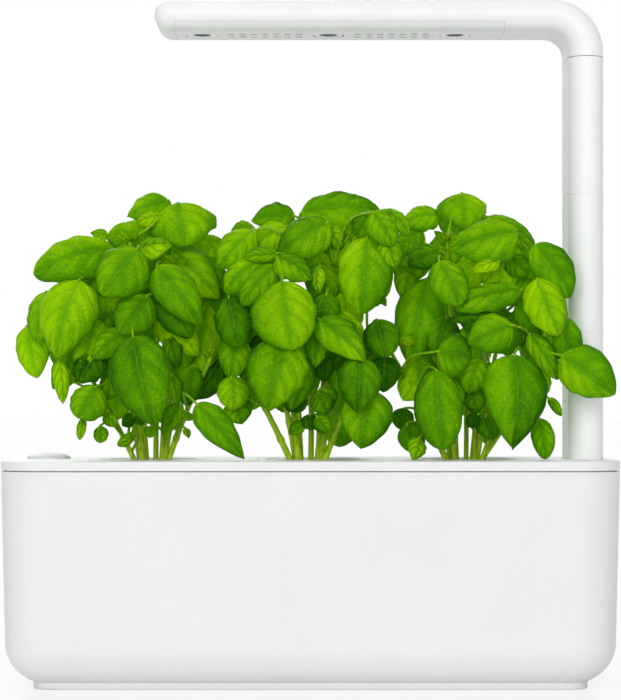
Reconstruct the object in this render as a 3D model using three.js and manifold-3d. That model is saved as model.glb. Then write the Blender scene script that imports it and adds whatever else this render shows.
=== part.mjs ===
// Countertop hydroponic garden: a water tank, a lid with three plant pods, a float that shows
// the water level, and a grow light on a column of stackable arms.
// Millimetres, +Z up, +X along the tank, -Y towards the front.
// The origin is at the centre of the foot's underside.
import * as THREE from 'three';
import { mergeVertices } from 'three/addons/utils/BufferGeometryUtils.js';
import Module from 'manifold-3d';

const wasm = await Module();
wasm.setup();

// Lid and tank
const GARDEN_LENGTH = 304;
const GARDEN_DEPTH = 127;
const CORNER_RADIUS = 24;
const LID_TOP_Z = 112;
const LID_SKIRT_HEIGHT = 4.7;
const LID_PLATE = 2.4;
const LID_SIDE_WALL = 2.8;
const LID_EDGE_ROUND = 1.2;
const SHADOW_GAP = 0.6;
const LIP_DEPTH = 8;
const LIP_THICKNESS = 1.6;
const TANK_WALL = 2.5;
const MOUTH_STEP = 1.1;
const TANK_DRAFT = 2;
const BELLY_INSET = 24.5;
const BELLY_HEIGHT = 21;
const BELLY_ANGLE = THREE.MathUtils.degToRad(64);
const FOOT_HEIGHT = 3.5;
const FOOT_EDGE_ROUND = 0.8;
const FIT_GAP = 0.3;
const CUT_OVERRUN = 2;

// Plant pods
const POD_FLANGE = 51;
const POD_FLANGE_THICKNESS = 2;
const POD_MOUTH = 46;
const POD_FOOT = 36;
const POD_DEPTH = 58;
const POD_WALL = 1.4;
const POD_CORNER_RADIUS = 11;
const POD_LEDGE_WALL = 2.4;
const POD_WELL_DEPTH = 8;
const POD_WATER_HOLE = 14;
const POD_COVER_THICKNESS = 1.2;
const POD_COVER_DROP = 0.5;
const STEM_HOLE = 23;
const SPONGE_DROP = 5;

// Float
const FLOAT_END_MARGIN = 19.4;
const FLOAT_CAP_DIAMETER = 22;
const FLOAT_CAP_HEIGHT = 9;
const FLOAT_RISE = 3;
const FLOAT_DOME = 2.4;
const FLOAT_GAP = 0.5;
const FLOAT_BUOY_DIAMETER = 20;
const FLOAT_BUOY_LENGTH = 36;
const FLOAT_TRAVEL = 30;
const FLOAT_STUD_DIAMETER = 6;
const FLOAT_STUD_LENGTH = 6;
const GUIDE_WALL = 1.5;
const GUIDE_STOP_THICKNESS = 2;
const GUIDE_STOP_HOLE = 14;
const GUIDE_SLOT_WIDTH = 5;
const GUIDE_SLOT_LENGTH = 44;
const DOME_STEPS = 5;

// Lamp column
const COLUMN_END_MARGIN = 14.1;
const COLUMN_WIDTH = 17.6;
const COLUMN_DEPTH = 46;
const COLUMN_WALL = 2.2;
const ARM_COUNT = 3;
const ARM_PITCH = 68.7;
const SOCKET_DEPTH = 5;
const SOCKET_FLOOR = 3;
const SOCKET_WALL = 2.4;
const SPIGOT_HEIGHT = 8;
const BORE_DEPTH = 9;
const PIN_DIAMETER = 3;
const PIN_LENGTH = 5;
const PIN_SEAT = 3;

// Lamp head
const BAR_THICKNESS = 16;
const BAR_REACH = 216.1;
const BEND_INNER_RADIUS = 10;
const HEAD_STRAIGHT = 3.3;
const COVER_END_MARGIN = 10.2;
const COVER_BEND_MARGIN = 22.1;
const COVER_HEIGHT = 4;
const COVER_WALL = 1.6;
const FIRST_LED_MARGIN = 5.6;
const LAST_LED_MARGIN = 16.4;
const LENS_DIAMETER = 15.2;
const LENS_THICKNESS = 2.4;
const WINDOW_DIAMETER = 8.6;
const VENT_PITCH = 5.7;
const VENT_LENGTH = 3.2;
const VENT_WIDTH = 1.4;
const VENT_ROW_SPACING = 9;
const VENT_COLUMNS = 7;
const HEAT_SINK_MARGIN = 7.5;
const HEAT_SINK_WIDTH = 30;
const HEAT_SINK_PLATE = 2;
const FIN_THICKNESS = 1.2;
const FIN_COUNT = 9;
const LED_BOARD_THICKNESS = 1.4;
const LED_BOARD_WIDTH = 24;

// Power inlet and timer
const INLET_COLUMN_OFFSET = 21.9;
const INLET_WIDTH = 11;
const INLET_HEIGHT = 8.8;
const INLET_LENGTH = 17;
const INLET_BORE = 6;
const INLET_BORE_DEPTH = 11;
const INLET_PIN = 2;
const INLET_RECESS = 0.6;
const NOTCH_GAP = 0.6;
const BOARD_WIDTH = 40;
const BOARD_THICKNESS = 1.6;
const TRAY_WALL = 1.6;
const TRAY_POD_GAP = 5.2;
const TRAY_LIP_GAP = 5.8;
const TRAY_HEIGHT = 12;
const TRAY_POST = 3;

// Basil plants. Places in the tables are shares of LEAF_LENGTH, from the stem base.
const LEAF_LENGTH = 49.5;
const LEAF_THICKNESS = 1.2;
const LEAF_SLIVER = 0.08;
const LEAF_GRID = 0.0005;
const PETIOLE_RADIUS = 0.7;
const STALK_FOOT_RADIUS = 1.5;
const STALK_TOP_RADIUS = 0.9;
const STALK_RING_RADIUS = 6.5;
const CROWN_RADIUS = 9.5;
const CROWN_HEIGHT = 2.4;
const PLANT_GAP = 1.2;
const FENCE_SLOPE = 0.25;

const CORNER_STEPS = 5;
const ROUND_STEPS = 20;

// Values that follow from the sizes above
const halfLength = GARDEN_LENGTH / 2;
const halfDepth = GARDEN_DEPTH / 2;
const skirtZ = LID_TOP_Z - LID_SKIRT_HEIGHT;
const rimZ = skirtZ - SHADOW_GAP;
const plateZ = LID_TOP_Z - LID_PLATE;
const shoulderZ = rimZ - LIP_DEPTH;
const lipOuterInset = TANK_WALL - MOUTH_STEP + FIT_GAP;
const bellyZ = FOOT_HEIGHT + BELLY_HEIGHT * Math.sin(BELLY_ANGLE);
const footInset = TANK_DRAFT + BELLY_INSET * (1 - Math.cos(BELLY_ANGLE));
const socketFloorZ = LID_TOP_Z - SOCKET_DEPTH;
const headSeatZ = socketFloorZ + ARM_COUNT * ARM_PITCH;
const bendZ = headSeatZ + HEAD_STRAIGHT;
const barBottomZ = bendZ + BEND_INNER_RADIUS;
const barTopZ = barBottomZ + BAR_THICKNESS;
const columnX = halfLength - COLUMN_END_MARGIN;
const bendX = columnX - COLUMN_WIDTH / 2 - BEND_INNER_RADIUS;
const partingZ = barBottomZ + COVER_HEIGHT;
const floatX = FLOAT_END_MARGIN - halfLength;
const inletX = columnX - INLET_COLUMN_OFFSET;

// The pods stand side by side in the room between the float and the column
const POD_SPACE_SHARE = 0.2812;
const POD_SHIFT_SHARE = 0.0588;
const podCollar = POD_FLANGE + 2 * POD_LEDGE_WALL;
const podRoomStart = floatX + FLOAT_CAP_DIAMETER / 2 + FLOAT_GAP;
const podRoomEnd = columnX - COLUMN_WIDTH / 2 - FIT_GAP;
const spareRoom = podRoomEnd - podRoomStart - 3 * podCollar;
const podPitch = podCollar + POD_SPACE_SHARE * spareRoom;
const middlePodX = (podRoomStart + podRoomEnd) / 2 - POD_SHIFT_SHARE * spareRoom;
const podXs = [-1, 0, 1].map((step) => middlePodX + step * podPitch);

// The timer's tray fills the room between the last pod and the lid's lip
const trayStartX = podXs[2] + podCollar / 2 + TRAY_POD_GAP;
const trayEndX = halfLength - lipOuterInset - LIP_THICKNESS - TRAY_LIP_GAP;
const boardX = (trayStartX + trayEndX) / 2;
const boardLength = trayEndX - trayStartX - 2 * (TRAY_WALL + FIT_GAP);

// Along the lamp's bar: its end, its underside's cover, the heat sink and the LEDs
const barEndX = columnX - BAR_REACH;
const coverStartX = barEndX + COVER_END_MARGIN;
const coverEndX = bendX - COVER_BEND_MARGIN;
const sinkStartX = coverStartX + HEAT_SINK_MARGIN;
const sinkEndX = coverEndX - HEAT_SINK_MARGIN;
const firstLedX = sinkStartX + FIRST_LED_MARGIN;
const ledPitch = (sinkEndX - LAST_LED_MARGIN - firstLedX) / 2;
const ledXs = [0, 1, 2].map((step) => firstLedX + step * ledPitch);

// Solids and geometry
function solidFrom(geometry) {
  const bare = geometry.clone();
  Object.keys(bare.attributes)
    .filter((name) => name !== 'position')
    .forEach((name) => bare.deleteAttribute(name));
  const merged = mergeVertices(bare);
  return new wasm.Manifold(new wasm.Mesh({
    numProp: 3,
    vertProperties: new Float32Array(merged.attributes.position.array),
    triVerts: new Uint32Array(merged.index.array),
  }));
}

function geometryFrom(solid) {
  const mesh = solid.getMesh();
  const geometry = new THREE.BufferGeometry();
  const points = new Float32Array(mesh.vertProperties);
  geometry.setAttribute('position', new THREE.BufferAttribute(points, 3));
  geometry.setIndex(new THREE.BufferAttribute(new Uint32Array(mesh.triVerts), 1));
  geometry.computeVertexNormals();
  return geometry;
}

function join(solids) {
  return solids.reduce((sum, solid) => sum.add(solid));
}

// The outer skin of a plant's joined solids above its pod, with the pockets left between
// crossing leaves filled
function plantSkin(solids, x) {
  const skin = geometryFrom(join(solids).translate([x, 0, LID_TOP_Z]).simplify(LEAF_SLIVER));
  const places = skin.attributes.position.array;
  places.forEach((place, k) => {
    places[k] = Math.round(place / LEAF_GRID) * LEAF_GRID;
  });
  return solidFrom(skin).decompose().reduce((outer, shell) => (
    shell.volume() > outer.volume() ? shell : outer
  ));
}

function signedVolume(points, faces) {
  let volume = 0;
  for (let i = 0; i < faces.length; i += 3) {
    const [a, b, c] = [points[faces[i]], points[faces[i + 1]], points[faces[i + 2]]];
    volume += a.dot(b.clone().cross(c));
  }
  return volume;
}

// A closed skin through rings of equally many points. A ring of one point closes to a tip,
// and any other end ring gets a flat fan.
function loft(rings) {
  const points = [];
  const starts = rings.map((ring) => points.push(...ring) - ring.length);
  const faces = [];
  for (let level = 1; level < rings.length; level++) {
    const low = rings[level - 1].length;
    const high = rings[level].length;
    const count = Math.max(low, high);
    for (let i = 0; i < count; i++) {
      const j = (i + 1) % count;
      const [a, b] = [starts[level - 1] + i % low, starts[level - 1] + j % low];
      const [c, d] = [starts[level] + i % high, starts[level] + j % high];
      if (a !== b) faces.push(a, b, d);
      if (c !== d) faces.push(a, d, c);
    }
  }
  [0, rings.length - 1].forEach((level) => {
    const ring = rings[level];
    if (ring.length === 1) return;
    const centre = new THREE.Vector3();
    ring.forEach((point) => centre.addScaledVector(point, 1 / ring.length));
    const hub = points.push(centre) - 1;
    for (let i = 0; i < ring.length; i++) {
      const a = starts[level] + i;
      const b = starts[level] + (i + 1) % ring.length;
      if (level === 0) faces.push(hub, b, a);
      else faces.push(hub, a, b);
    }
  });
  if (signedVolume(points, faces) < 0) faces.reverse();
  const geometry = new THREE.BufferGeometry();
  const flat = new Float32Array(points.flatMap((point) => point.toArray()));
  geometry.setAttribute('position', new THREE.BufferAttribute(flat, 3));
  geometry.setIndex(faces);
  return solidFrom(geometry);
}

function box(x0, x1, y0, y1, z0, z1) {
  const geometry = new THREE.BoxGeometry(x1 - x0, y1 - y0, z1 - z0);
  geometry.translate((x0 + x1) / 2, (y0 + y1) / 2, (z0 + z1) / 2);
  return solidFrom(geometry);
}

// An upright disc or tube blank between two heights
function disc(x, y, z0, z1, radius, steps = ROUND_STEPS) {
  const geometry = new THREE.CylinderGeometry(radius, radius, z1 - z0, steps);
  geometry.rotateX(Math.PI / 2);
  geometry.translate(x, y, (z0 + z1) / 2);
  return solidFrom(geometry);
}

function roundedRing(halfX, halfY, radius, z, x = 0, y = 0) {
  const corners = [[1, 1], [-1, 1], [-1, -1], [1, -1]];
  return corners.flatMap(([sideX, sideY], quarter) => (
    Array.from({ length: CORNER_STEPS + 1 }, (_, step) => {
      const angle = (quarter + step / CORNER_STEPS) * Math.PI / 2;
      return new THREE.Vector3(
        x + sideX * (halfX - radius) + radius * Math.cos(angle),
        y + sideY * (halfY - radius) + radius * Math.sin(angle),
        z,
      );
    })
  ));
}

// The garden's outline in plan, drawn in from the lid's edge
const CORNER_INSET_SHARE = 0.9;

function planRing(inset, z) {
  return roundedRing(halfLength - inset, halfDepth - inset, CORNER_RADIUS - inset * CORNER_INSET_SHARE, z);
}

function squareBlock(x, z0, z1, width0, width1, radius) {
  return loft([
    roundedRing(width0 / 2, width0 / 2, radius * width0 / width1, z0, x),
    roundedRing(width1 / 2, width1 / 2, radius, z1, x),
  ]);
}

// An upright prism with the column's section, drawn in by an inset
const COLUMN_ROUND_SHARE = 0.999;

function columnPrism(z0, z1, inset) {
  const halfX = COLUMN_WIDTH / 2 - inset;
  const halfY = COLUMN_DEPTH / 2 - inset;
  const radius = halfX * COLUMN_ROUND_SHARE;
  return loft([z0, z1].map((z) => roundedRing(halfX, halfY, radius, z, columnX)));
}

const DRAFT_SHARES = [0.5, 1];
const BELLY_SHARES = [1, 0.8, 0.6, 0.4, 0.2, 0];

function tankSkin(wall, topZ) {
  const rings = BELLY_SHARES.map((share) => {
    const angle = BELLY_ANGLE * share;
    const inset = TANK_DRAFT + wall + (BELLY_INSET - wall) * (1 - Math.cos(angle));
    return planRing(inset, bellyZ - (BELLY_HEIGHT - wall) * Math.sin(angle));
  });
  DRAFT_SHARES.forEach((share) => {
    const z = bellyZ + (rimZ - bellyZ) * share;
    rings.push(planRing(wall + TANK_DRAFT * (1 - share), z));
  });
  if (topZ > rimZ) rings.push(planRing(wall, topZ));
  return loft(rings);
}

function makeWaterTank() {
  const mouthZ = shoulderZ - FIT_GAP;
  const mouth = loft([mouthZ, rimZ + CUT_OVERRUN].map((z) => planRing(TANK_WALL - MOUTH_STEP, z)));
  const notchHalf = INLET_WIDTH / 2 + NOTCH_GAP;
  const notch = box(
    inletX - notchHalf, inletX + notchHalf,
    halfDepth - TANK_WALL - CUT_OVERRUN, halfDepth + CUT_OVERRUN,
    inletBottomZ - NOTCH_GAP, rimZ + CUT_OVERRUN,
  );
  return tankSkin(0, rimZ).subtract(tankSkin(TANK_WALL, rimZ + CUT_OVERRUN))
    .subtract(mouth).subtract(notch);
}

function makeFootPlinth() {
  return loft([
    planRing(footInset + FOOT_EDGE_ROUND, 0),
    planRing(footInset, FOOT_EDGE_ROUND),
    planRing(footInset, FOOT_HEIGHT),
  ]);
}

// Power inlet under the lid, with its mouth in the tank's rear notch
const inletTopZ = skirtZ - FIT_GAP;
const inletBottomZ = inletTopZ - INLET_HEIGHT;
const inletFrontY = halfDepth - INLET_RECESS - INLET_LENGTH;

function makeDcInlet() {
  const rearY = inletFrontY + INLET_LENGTH;
  const middleZ = (inletTopZ + inletBottomZ) / 2;
  const bore = new THREE.CylinderGeometry(INLET_BORE / 2, INLET_BORE / 2, INLET_BORE_DEPTH * 2, ROUND_STEPS);
  bore.translate(inletX, rearY, middleZ);
  const pinLength = INLET_BORE_DEPTH + FIT_GAP;
  const pin = new THREE.CylinderGeometry(INLET_PIN / 2, INLET_PIN / 2, pinLength, CORNER_STEPS * 2);
  pin.translate(inletX, rearY - INLET_RECESS - pinLength / 2, middleZ);
  return box(
    inletX - INLET_WIDTH / 2, inletX + INLET_WIDTH / 2,
    inletFrontY, rearY, inletBottomZ, inletTopZ,
  ).subtract(solidFrom(bore)).add(solidFrom(pin));
}

// The lid
const podWellHalf = POD_FLANGE / 2 + FIT_GAP;
const guideInnerRadius = FLOAT_CAP_DIAMETER / 2 + FLOAT_GAP;
const EDGE_KNEE_SHARE = 0.3;

function makeLid() {
  let lid = loft([
    planRing(0, skirtZ),
    planRing(0, LID_TOP_Z - LID_EDGE_ROUND),
    planRing(LID_EDGE_ROUND * EDGE_KNEE_SHARE, LID_TOP_Z - LID_EDGE_ROUND * EDGE_KNEE_SHARE),
    planRing(LID_EDGE_ROUND, LID_TOP_Z),
  ]);
  const hollow = loft([skirtZ - CUT_OVERRUN, plateZ].map((z) => planRing(LID_SIDE_WALL, z)));
  const joinZ = plateZ + LID_PLATE / 2;
  const lip = loft([shoulderZ, joinZ].map((z) => planRing(lipOuterInset, z))).subtract(
    loft([shoulderZ - CUT_OVERRUN, joinZ + CUT_OVERRUN]
      .map((z) => planRing(lipOuterInset + LIP_THICKNESS, z))),
  );
  lid = lid.subtract(hollow).add(lip);

  podXs.forEach((x) => {
    lid = lid.add(squareBlock(
      x, LID_TOP_Z - POD_WELL_DEPTH, joinZ, podCollar, podCollar, POD_CORNER_RADIUS,
    ));
    const flangeSeat = podWellHalf * 2;
    const seatZ = LID_TOP_Z - POD_FLANGE_THICKNESS - FIT_GAP;
    lid = lid.subtract(squareBlock(
      x, seatZ, LID_TOP_Z + CUT_OVERRUN, flangeSeat, flangeSeat, POD_CORNER_RADIUS,
    ));
    const throat = POD_MOUTH + 2 * FIT_GAP;
    lid = lid.subtract(squareBlock(
      x, LID_TOP_Z - POD_WELL_DEPTH - CUT_OVERRUN, LID_TOP_Z, throat, throat, POD_CORNER_RADIUS,
    ));
  });

  const pocket = columnPrism(socketFloorZ, LID_TOP_Z + CUT_OVERRUN, -FIT_GAP);
  const boss = columnPrism(socketFloorZ - SOCKET_FLOOR, joinZ, -SOCKET_WALL);
  const inletBoss = box(
    inletX - INLET_WIDTH / 2, inletX + INLET_WIDTH / 2,
    inletFrontY, halfDepth - LID_SIDE_WALL, inletTopZ + FIT_GAP, joinZ,
  );
  const floatHole = disc(floatX, 0, skirtZ - CUT_OVERRUN, LID_TOP_Z + CUT_OVERRUN, guideInnerRadius);
  const inletRoom = box(
    inletX - INLET_WIDTH / 2 - NOTCH_GAP, inletX + INLET_WIDTH / 2 + NOTCH_GAP,
    inletFrontY - NOTCH_GAP, halfDepth, shoulderZ - CUT_OVERRUN, inletTopZ + FIT_GAP,
  );
  const pinSeat = disc(
    columnX, 0, socketFloorZ - SOCKET_FLOOR - CUT_OVERRUN, socketFloorZ + CUT_OVERRUN,
    PIN_DIAMETER / 2 + FIT_GAP,
  );
  return lid.add(inletBoss).add(boss).subtract(pocket).subtract(pinSeat)
    .subtract(floatHole).subtract(inletRoom);
}

// Float guide: a slotted tube with a stop ring at its foot
const buoyTopZ = LID_TOP_Z + FLOAT_RISE - FLOAT_CAP_HEIGHT - FIT_GAP;
const buoyFootZ = buoyTopZ - FLOAT_BUOY_LENGTH;
const stopTopZ = buoyFootZ - FLOAT_TRAVEL - FIT_GAP;

function makeFloatGuide() {
  const footZ = stopTopZ - GUIDE_STOP_THICKNESS;
  const topZ = plateZ - FIT_GAP;
  const tube = disc(floatX, 0, footZ, topZ, guideInnerRadius + GUIDE_WALL)
    .subtract(disc(floatX, 0, stopTopZ, topZ + CUT_OVERRUN, guideInnerRadius))
    .subtract(disc(floatX, 0, footZ - CUT_OVERRUN, stopTopZ + CUT_OVERRUN, GUIDE_STOP_HOLE / 2));
  const slotZ = stopTopZ + GUIDE_SLOT_WIDTH;
  const reach = guideInnerRadius + GUIDE_WALL + CUT_OVERRUN;
  const slotY = box(
    floatX - GUIDE_SLOT_WIDTH / 2, floatX + GUIDE_SLOT_WIDTH / 2,
    -reach, reach, slotZ, slotZ + GUIDE_SLOT_LENGTH,
  );
  return tube.subtract(slotY);
}

function makeFloatCap() {
  const radius = FLOAT_CAP_DIAMETER / 2;
  const baseZ = LID_TOP_Z + FLOAT_RISE - FLOAT_CAP_HEIGHT;
  const profile = [new THREE.Vector2(0, -FLOAT_STUD_LENGTH)];
  profile.push(new THREE.Vector2(FLOAT_STUD_DIAMETER / 2, -FLOAT_STUD_LENGTH));
  profile.push(new THREE.Vector2(FLOAT_STUD_DIAMETER / 2, 0));
  profile.push(new THREE.Vector2(radius, 0));
  const sideHeight = FLOAT_CAP_HEIGHT - FLOAT_DOME;
  for (let step = 0; step <= DOME_STEPS; step++) {
    const angle = step / DOME_STEPS * Math.PI / 2;
    const out = step === DOME_STEPS ? 0 : radius * Math.cos(angle);
    profile.push(new THREE.Vector2(out, sideHeight + FLOAT_DOME * Math.sin(angle)));
  }
  const geometry = new THREE.LatheGeometry(profile, ROUND_STEPS);
  geometry.rotateX(Math.PI / 2);
  geometry.translate(floatX, 0, baseZ);
  return solidFrom(geometry);
}

function makeFloatBuoy() {
  const stud = FLOAT_STUD_DIAMETER / 2 + FIT_GAP;
  return disc(floatX, 0, buoyFootZ, buoyTopZ, FLOAT_BUOY_DIAMETER / 2).subtract(
    disc(floatX, 0, buoyTopZ - FLOAT_STUD_LENGTH - FIT_GAP, buoyTopZ + CUT_OVERRUN, stud),
  );
}

// Lamp column
function makeLampSocket() {
  const footZ = socketFloorZ + FIT_GAP;
  return columnPrism(footZ, socketFloorZ + SPIGOT_HEIGHT, COLUMN_WALL + FIT_GAP)
    .subtract(disc(
      columnX, 0, footZ - CUT_OVERRUN, socketFloorZ + SPIGOT_HEIGHT + CUT_OVERRUN,
      PIN_DIAMETER / 2 + FIT_GAP,
    ));
}

function pinTopZ(seatZ) {
  return seatZ + SPIGOT_HEIGHT + PIN_LENGTH;
}

function makeContactPin(seatZ, footZ) {
  return disc(columnX, 0, footZ, pinTopZ(seatZ), PIN_DIAMETER / 2, CORNER_STEPS * 2);
}

// The hollow that an arm or the lamp head has for the spigot and pin below it
function spigotRoom(seatZ) {
  return columnPrism(seatZ - CUT_OVERRUN, seatZ + BORE_DEPTH, COLUMN_WALL).add(disc(
    columnX, 0, seatZ, pinTopZ(seatZ) + FIT_GAP, PIN_DIAMETER / 2 + FIT_GAP,
  ));
}

function makeExtensionArm(seatZ) {
  const topZ = seatZ + ARM_PITCH;
  const pinFootZ = topZ - PIN_SEAT;
  return columnPrism(seatZ + FIT_GAP, topZ, 0)
    .add(columnPrism(topZ - CUT_OVERRUN, topZ + SPIGOT_HEIGHT, COLUMN_WALL + FIT_GAP))
    .subtract(spigotRoom(seatZ))
    .subtract(disc(
      columnX, 0, pinFootZ - FIT_GAP, topZ + SPIGOT_HEIGHT + CUT_OVERRUN,
      PIN_DIAMETER / 2 + FIT_GAP,
    ));
}

// Lamp head: a flat tube with round edges, swept along the bar, the bend and the column
const BEND_STEPS = 8;
const END_STEPS = 3;
const END_BLUNT_SHARE = 0.05;

function sectionRing(centre, out, halfThickness, halfWidth) {
  return Array.from({ length: 4 * CORNER_STEPS }, (_, step) => {
    const angle = (step + 0.5) / (4 * CORNER_STEPS) * Math.PI * 2;
    const side = Math.cos(angle) > 0 ? 1 : -1;
    const across = side * (halfWidth - halfThickness) + halfThickness * Math.cos(angle);
    return centre.clone()
      .addScaledVector(out, halfThickness * Math.sin(angle))
      .add(new THREE.Vector3(0, across, 0));
  });
}

function headRings(inset) {
  const barHalf = BAR_THICKNESS / 2 - inset;
  const halfWidth = COLUMN_DEPTH / 2 - inset;
  const barZ = barBottomZ + BAR_THICKNESS / 2;
  const up = new THREE.Vector3(0, 0, 1);
  const rings = [];
  for (let step = END_STEPS; step >= 0; step--) {
    const lean = Math.max(step / END_STEPS - END_BLUNT_SHARE, 0) * Math.PI / 2;
    const half = barHalf * Math.cos(lean);
    const x = barEndX + BAR_THICKNESS / 2 - barHalf * Math.sin(lean);
    rings.push(sectionRing(new THREE.Vector3(x, 0, barZ), up, half, halfWidth - barHalf + half));
  }
  for (let step = 0; step <= BEND_STEPS; step++) {
    const share = step / BEND_STEPS;
    const angle = Math.PI / 2 * (1 - share);
    const thickness = BAR_THICKNESS + (COLUMN_WIDTH - BAR_THICKNESS) * share;
    const reach = BEND_INNER_RADIUS + thickness / 2;
    const out = new THREE.Vector3(Math.cos(angle), 0, Math.sin(angle));
    const centre = new THREE.Vector3(bendX, 0, bendZ).addScaledVector(out, reach);
    rings.push(sectionRing(centre, out, thickness / 2 - inset, halfWidth));
  }
  const right = new THREE.Vector3(1, 0, 0);
  const foot = new THREE.Vector3(columnX, 0, headSeatZ + FIT_GAP);
  rings.push(sectionRing(foot, right, COLUMN_WIDTH / 2 - inset, halfWidth));
  return rings;
}

function coverRoom(gap) {
  return box(
    coverStartX - gap, coverEndX + gap, -COLUMN_DEPTH, COLUMN_DEPTH,
    barBottomZ - CUT_OVERRUN, partingZ + gap,
  );
}

function makeLampHousing() {
  const cavity = loft(headRings(COLUMN_WALL)).intersect(box(
    coverStartX + COVER_WALL, coverEndX - COVER_WALL, -COLUMN_DEPTH, COLUMN_DEPTH,
    barBottomZ, barTopZ,
  ));
  return loft(headRings(0)).subtract(coverRoom(FIT_GAP)).subtract(cavity)
    .subtract(spigotRoom(headSeatZ));
}

function makeLampCover() {
  const room = box(
    coverStartX + COVER_WALL, coverEndX - COVER_WALL,
    -COLUMN_DEPTH, COLUMN_DEPTH, barBottomZ + COVER_WALL, partingZ + CUT_OVERRUN,
  ).intersect(loft(headRings(COVER_WALL)));
  let cover = loft(headRings(0)).intersect(coverRoom(0)).subtract(room);
  ledXs.forEach((x) => {
    cover = cover.subtract(disc(
      x, 0, barBottomZ - CUT_OVERRUN, partingZ, LENS_DIAMETER / 2 + FIT_GAP,
    ));
  });
  const groupXs = [firstLedX + ledPitch / 2, firstLedX + ledPitch * 3 / 2];
  groupXs.forEach((groupX) => {
    for (let column = 0; column < VENT_COLUMNS; column++) {
      [-1, 1].forEach((row) => {
        const x = groupX + (column - (VENT_COLUMNS - 1) / 2) * VENT_PITCH;
        const y = row * VENT_ROW_SPACING / 2;
        cover = cover.subtract(box(
          x - VENT_LENGTH / 2, x + VENT_LENGTH / 2, y - VENT_WIDTH / 2, y + VENT_WIDTH / 2,
          barBottomZ - CUT_OVERRUN, partingZ,
        ));
      });
    }
  });
  return cover;
}

// Inside the bar, from the top down: heat sink, LED board, windows in their lens rings
const sinkTopZ = barTopZ - COLUMN_WALL - FIT_GAP;
const boardTopZ = partingZ + LED_BOARD_THICKNESS + FIT_GAP;
const sinkPlateZ = boardTopZ + FIT_GAP;

function makeHeatSink() {
  const halfY = HEAT_SINK_WIDTH / 2;
  const fins = Array.from({ length: FIN_COUNT }, (_, step) => {
    const y = (step / (FIN_COUNT - 1) - 0.5) * (HEAT_SINK_WIDTH - FIN_THICKNESS);
    const low = -FIN_THICKNESS / 2;
    return box(
      sinkStartX, sinkEndX, y + low, y - low,
      sinkPlateZ + HEAT_SINK_PLATE / 2, sinkTopZ,
    );
  });
  return join([box(
    sinkStartX, sinkEndX, -halfY, halfY,
    sinkPlateZ, sinkPlateZ + HEAT_SINK_PLATE,
  ), ...fins]);
}

function makeLedBoard() {
  return box(
    sinkStartX, sinkEndX, -LED_BOARD_WIDTH / 2, LED_BOARD_WIDTH / 2,
    boardTopZ - LED_BOARD_THICKNESS, boardTopZ,
  );
}

function makeLedLens(x) {
  return disc(x, 0, barBottomZ, barBottomZ + LENS_THICKNESS, LENS_DIAMETER / 2).subtract(disc(
    x, 0, barBottomZ - CUT_OVERRUN, partingZ, WINDOW_DIAMETER / 2 + FIT_GAP,
  ));
}

function makeLedWindow(x) {
  const topZ = boardTopZ - LED_BOARD_THICKNESS - FIT_GAP;
  return disc(x, 0, barBottomZ + FIT_GAP, topZ, WINDOW_DIAMETER / 2);
}

// Timer under the lamp's pocket
const trayTopZ = socketFloorZ - SOCKET_FLOOR - FIT_GAP;
const boardFootZ = trayTopZ - BOARD_THICKNESS * 2;

function makeElectronicsTray() {
  const halfX = boardLength / 2 + FIT_GAP;
  const halfY = BOARD_WIDTH / 2 + FIT_GAP;
  const floorZ = trayTopZ - TRAY_HEIGHT;
  const shell = box(
    boardX - halfX - TRAY_WALL, boardX + halfX + TRAY_WALL,
    -halfY - TRAY_WALL, halfY + TRAY_WALL, floorZ, trayTopZ,
  ).subtract(box(
    boardX - halfX, boardX + halfX, -halfY, halfY, floorZ + TRAY_WALL, trayTopZ + CUT_OVERRUN,
  ));
  const posts = [[-1, -1], [1, -1], [-1, 1], [1, 1]].map(([sideX, sideY]) => {
    const x = [boardX + sideX * (halfX + TRAY_WALL / 2), boardX + sideX * (halfX - TRAY_POST)];
    const y = [sideY * (halfY + TRAY_WALL / 2), sideY * (halfY - TRAY_POST)];
    return box(
      Math.min(...x), Math.max(...x), Math.min(...y), Math.max(...y),
      floorZ + TRAY_WALL / 2, boardFootZ - FIT_GAP,
    );
  });
  return join([shell, ...posts]);
}

function makeTimerBoard() {
  return box(
    boardX - boardLength / 2, boardX + boardLength / 2,
    -BOARD_WIDTH / 2, BOARD_WIDTH / 2, boardFootZ, boardFootZ + BOARD_THICKNESS,
  );
}

// Plant pods
const cupFootZ = LID_TOP_Z - POD_DEPTH;
const spongeTopZ = LID_TOP_Z - SPONGE_DROP;

function podWidthAt(z) {
  return POD_FOOT + (POD_MOUTH - POD_FOOT) * (z - cupFootZ) / POD_DEPTH;
}

function makePodCup(x) {
  const flangeZ = LID_TOP_Z - POD_FLANGE_THICKNESS;
  const inner = 2 * POD_WALL;
  const floorZ = cupFootZ + POD_WALL;
  const topZ = LID_TOP_Z + CUT_OVERRUN;
  const hollow = squareBlock(
    x, floorZ, topZ, podWidthAt(floorZ) - inner, podWidthAt(topZ) - inner,
    POD_CORNER_RADIUS - POD_WALL,
  );
  const flange = squareBlock(x, flangeZ, LID_TOP_Z, POD_FLANGE, POD_FLANGE, POD_CORNER_RADIUS);
  return squareBlock(x, cupFootZ, LID_TOP_Z, POD_FOOT, POD_MOUTH, POD_CORNER_RADIUS)
    .add(flange).subtract(hollow)
    .subtract(disc(x, 0, cupFootZ - CUT_OVERRUN, floorZ + CUT_OVERRUN, POD_WATER_HOLE / 2));
}

function makeGrowSponge(x) {
  const inner = 2 * (POD_WALL + FIT_GAP);
  const footZ = cupFootZ + POD_WALL + FIT_GAP;
  return squareBlock(
    x, footZ, spongeTopZ, podWidthAt(footZ) - inner, podWidthAt(spongeTopZ) - inner,
    POD_CORNER_RADIUS - POD_WALL,
  );
}

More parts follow.
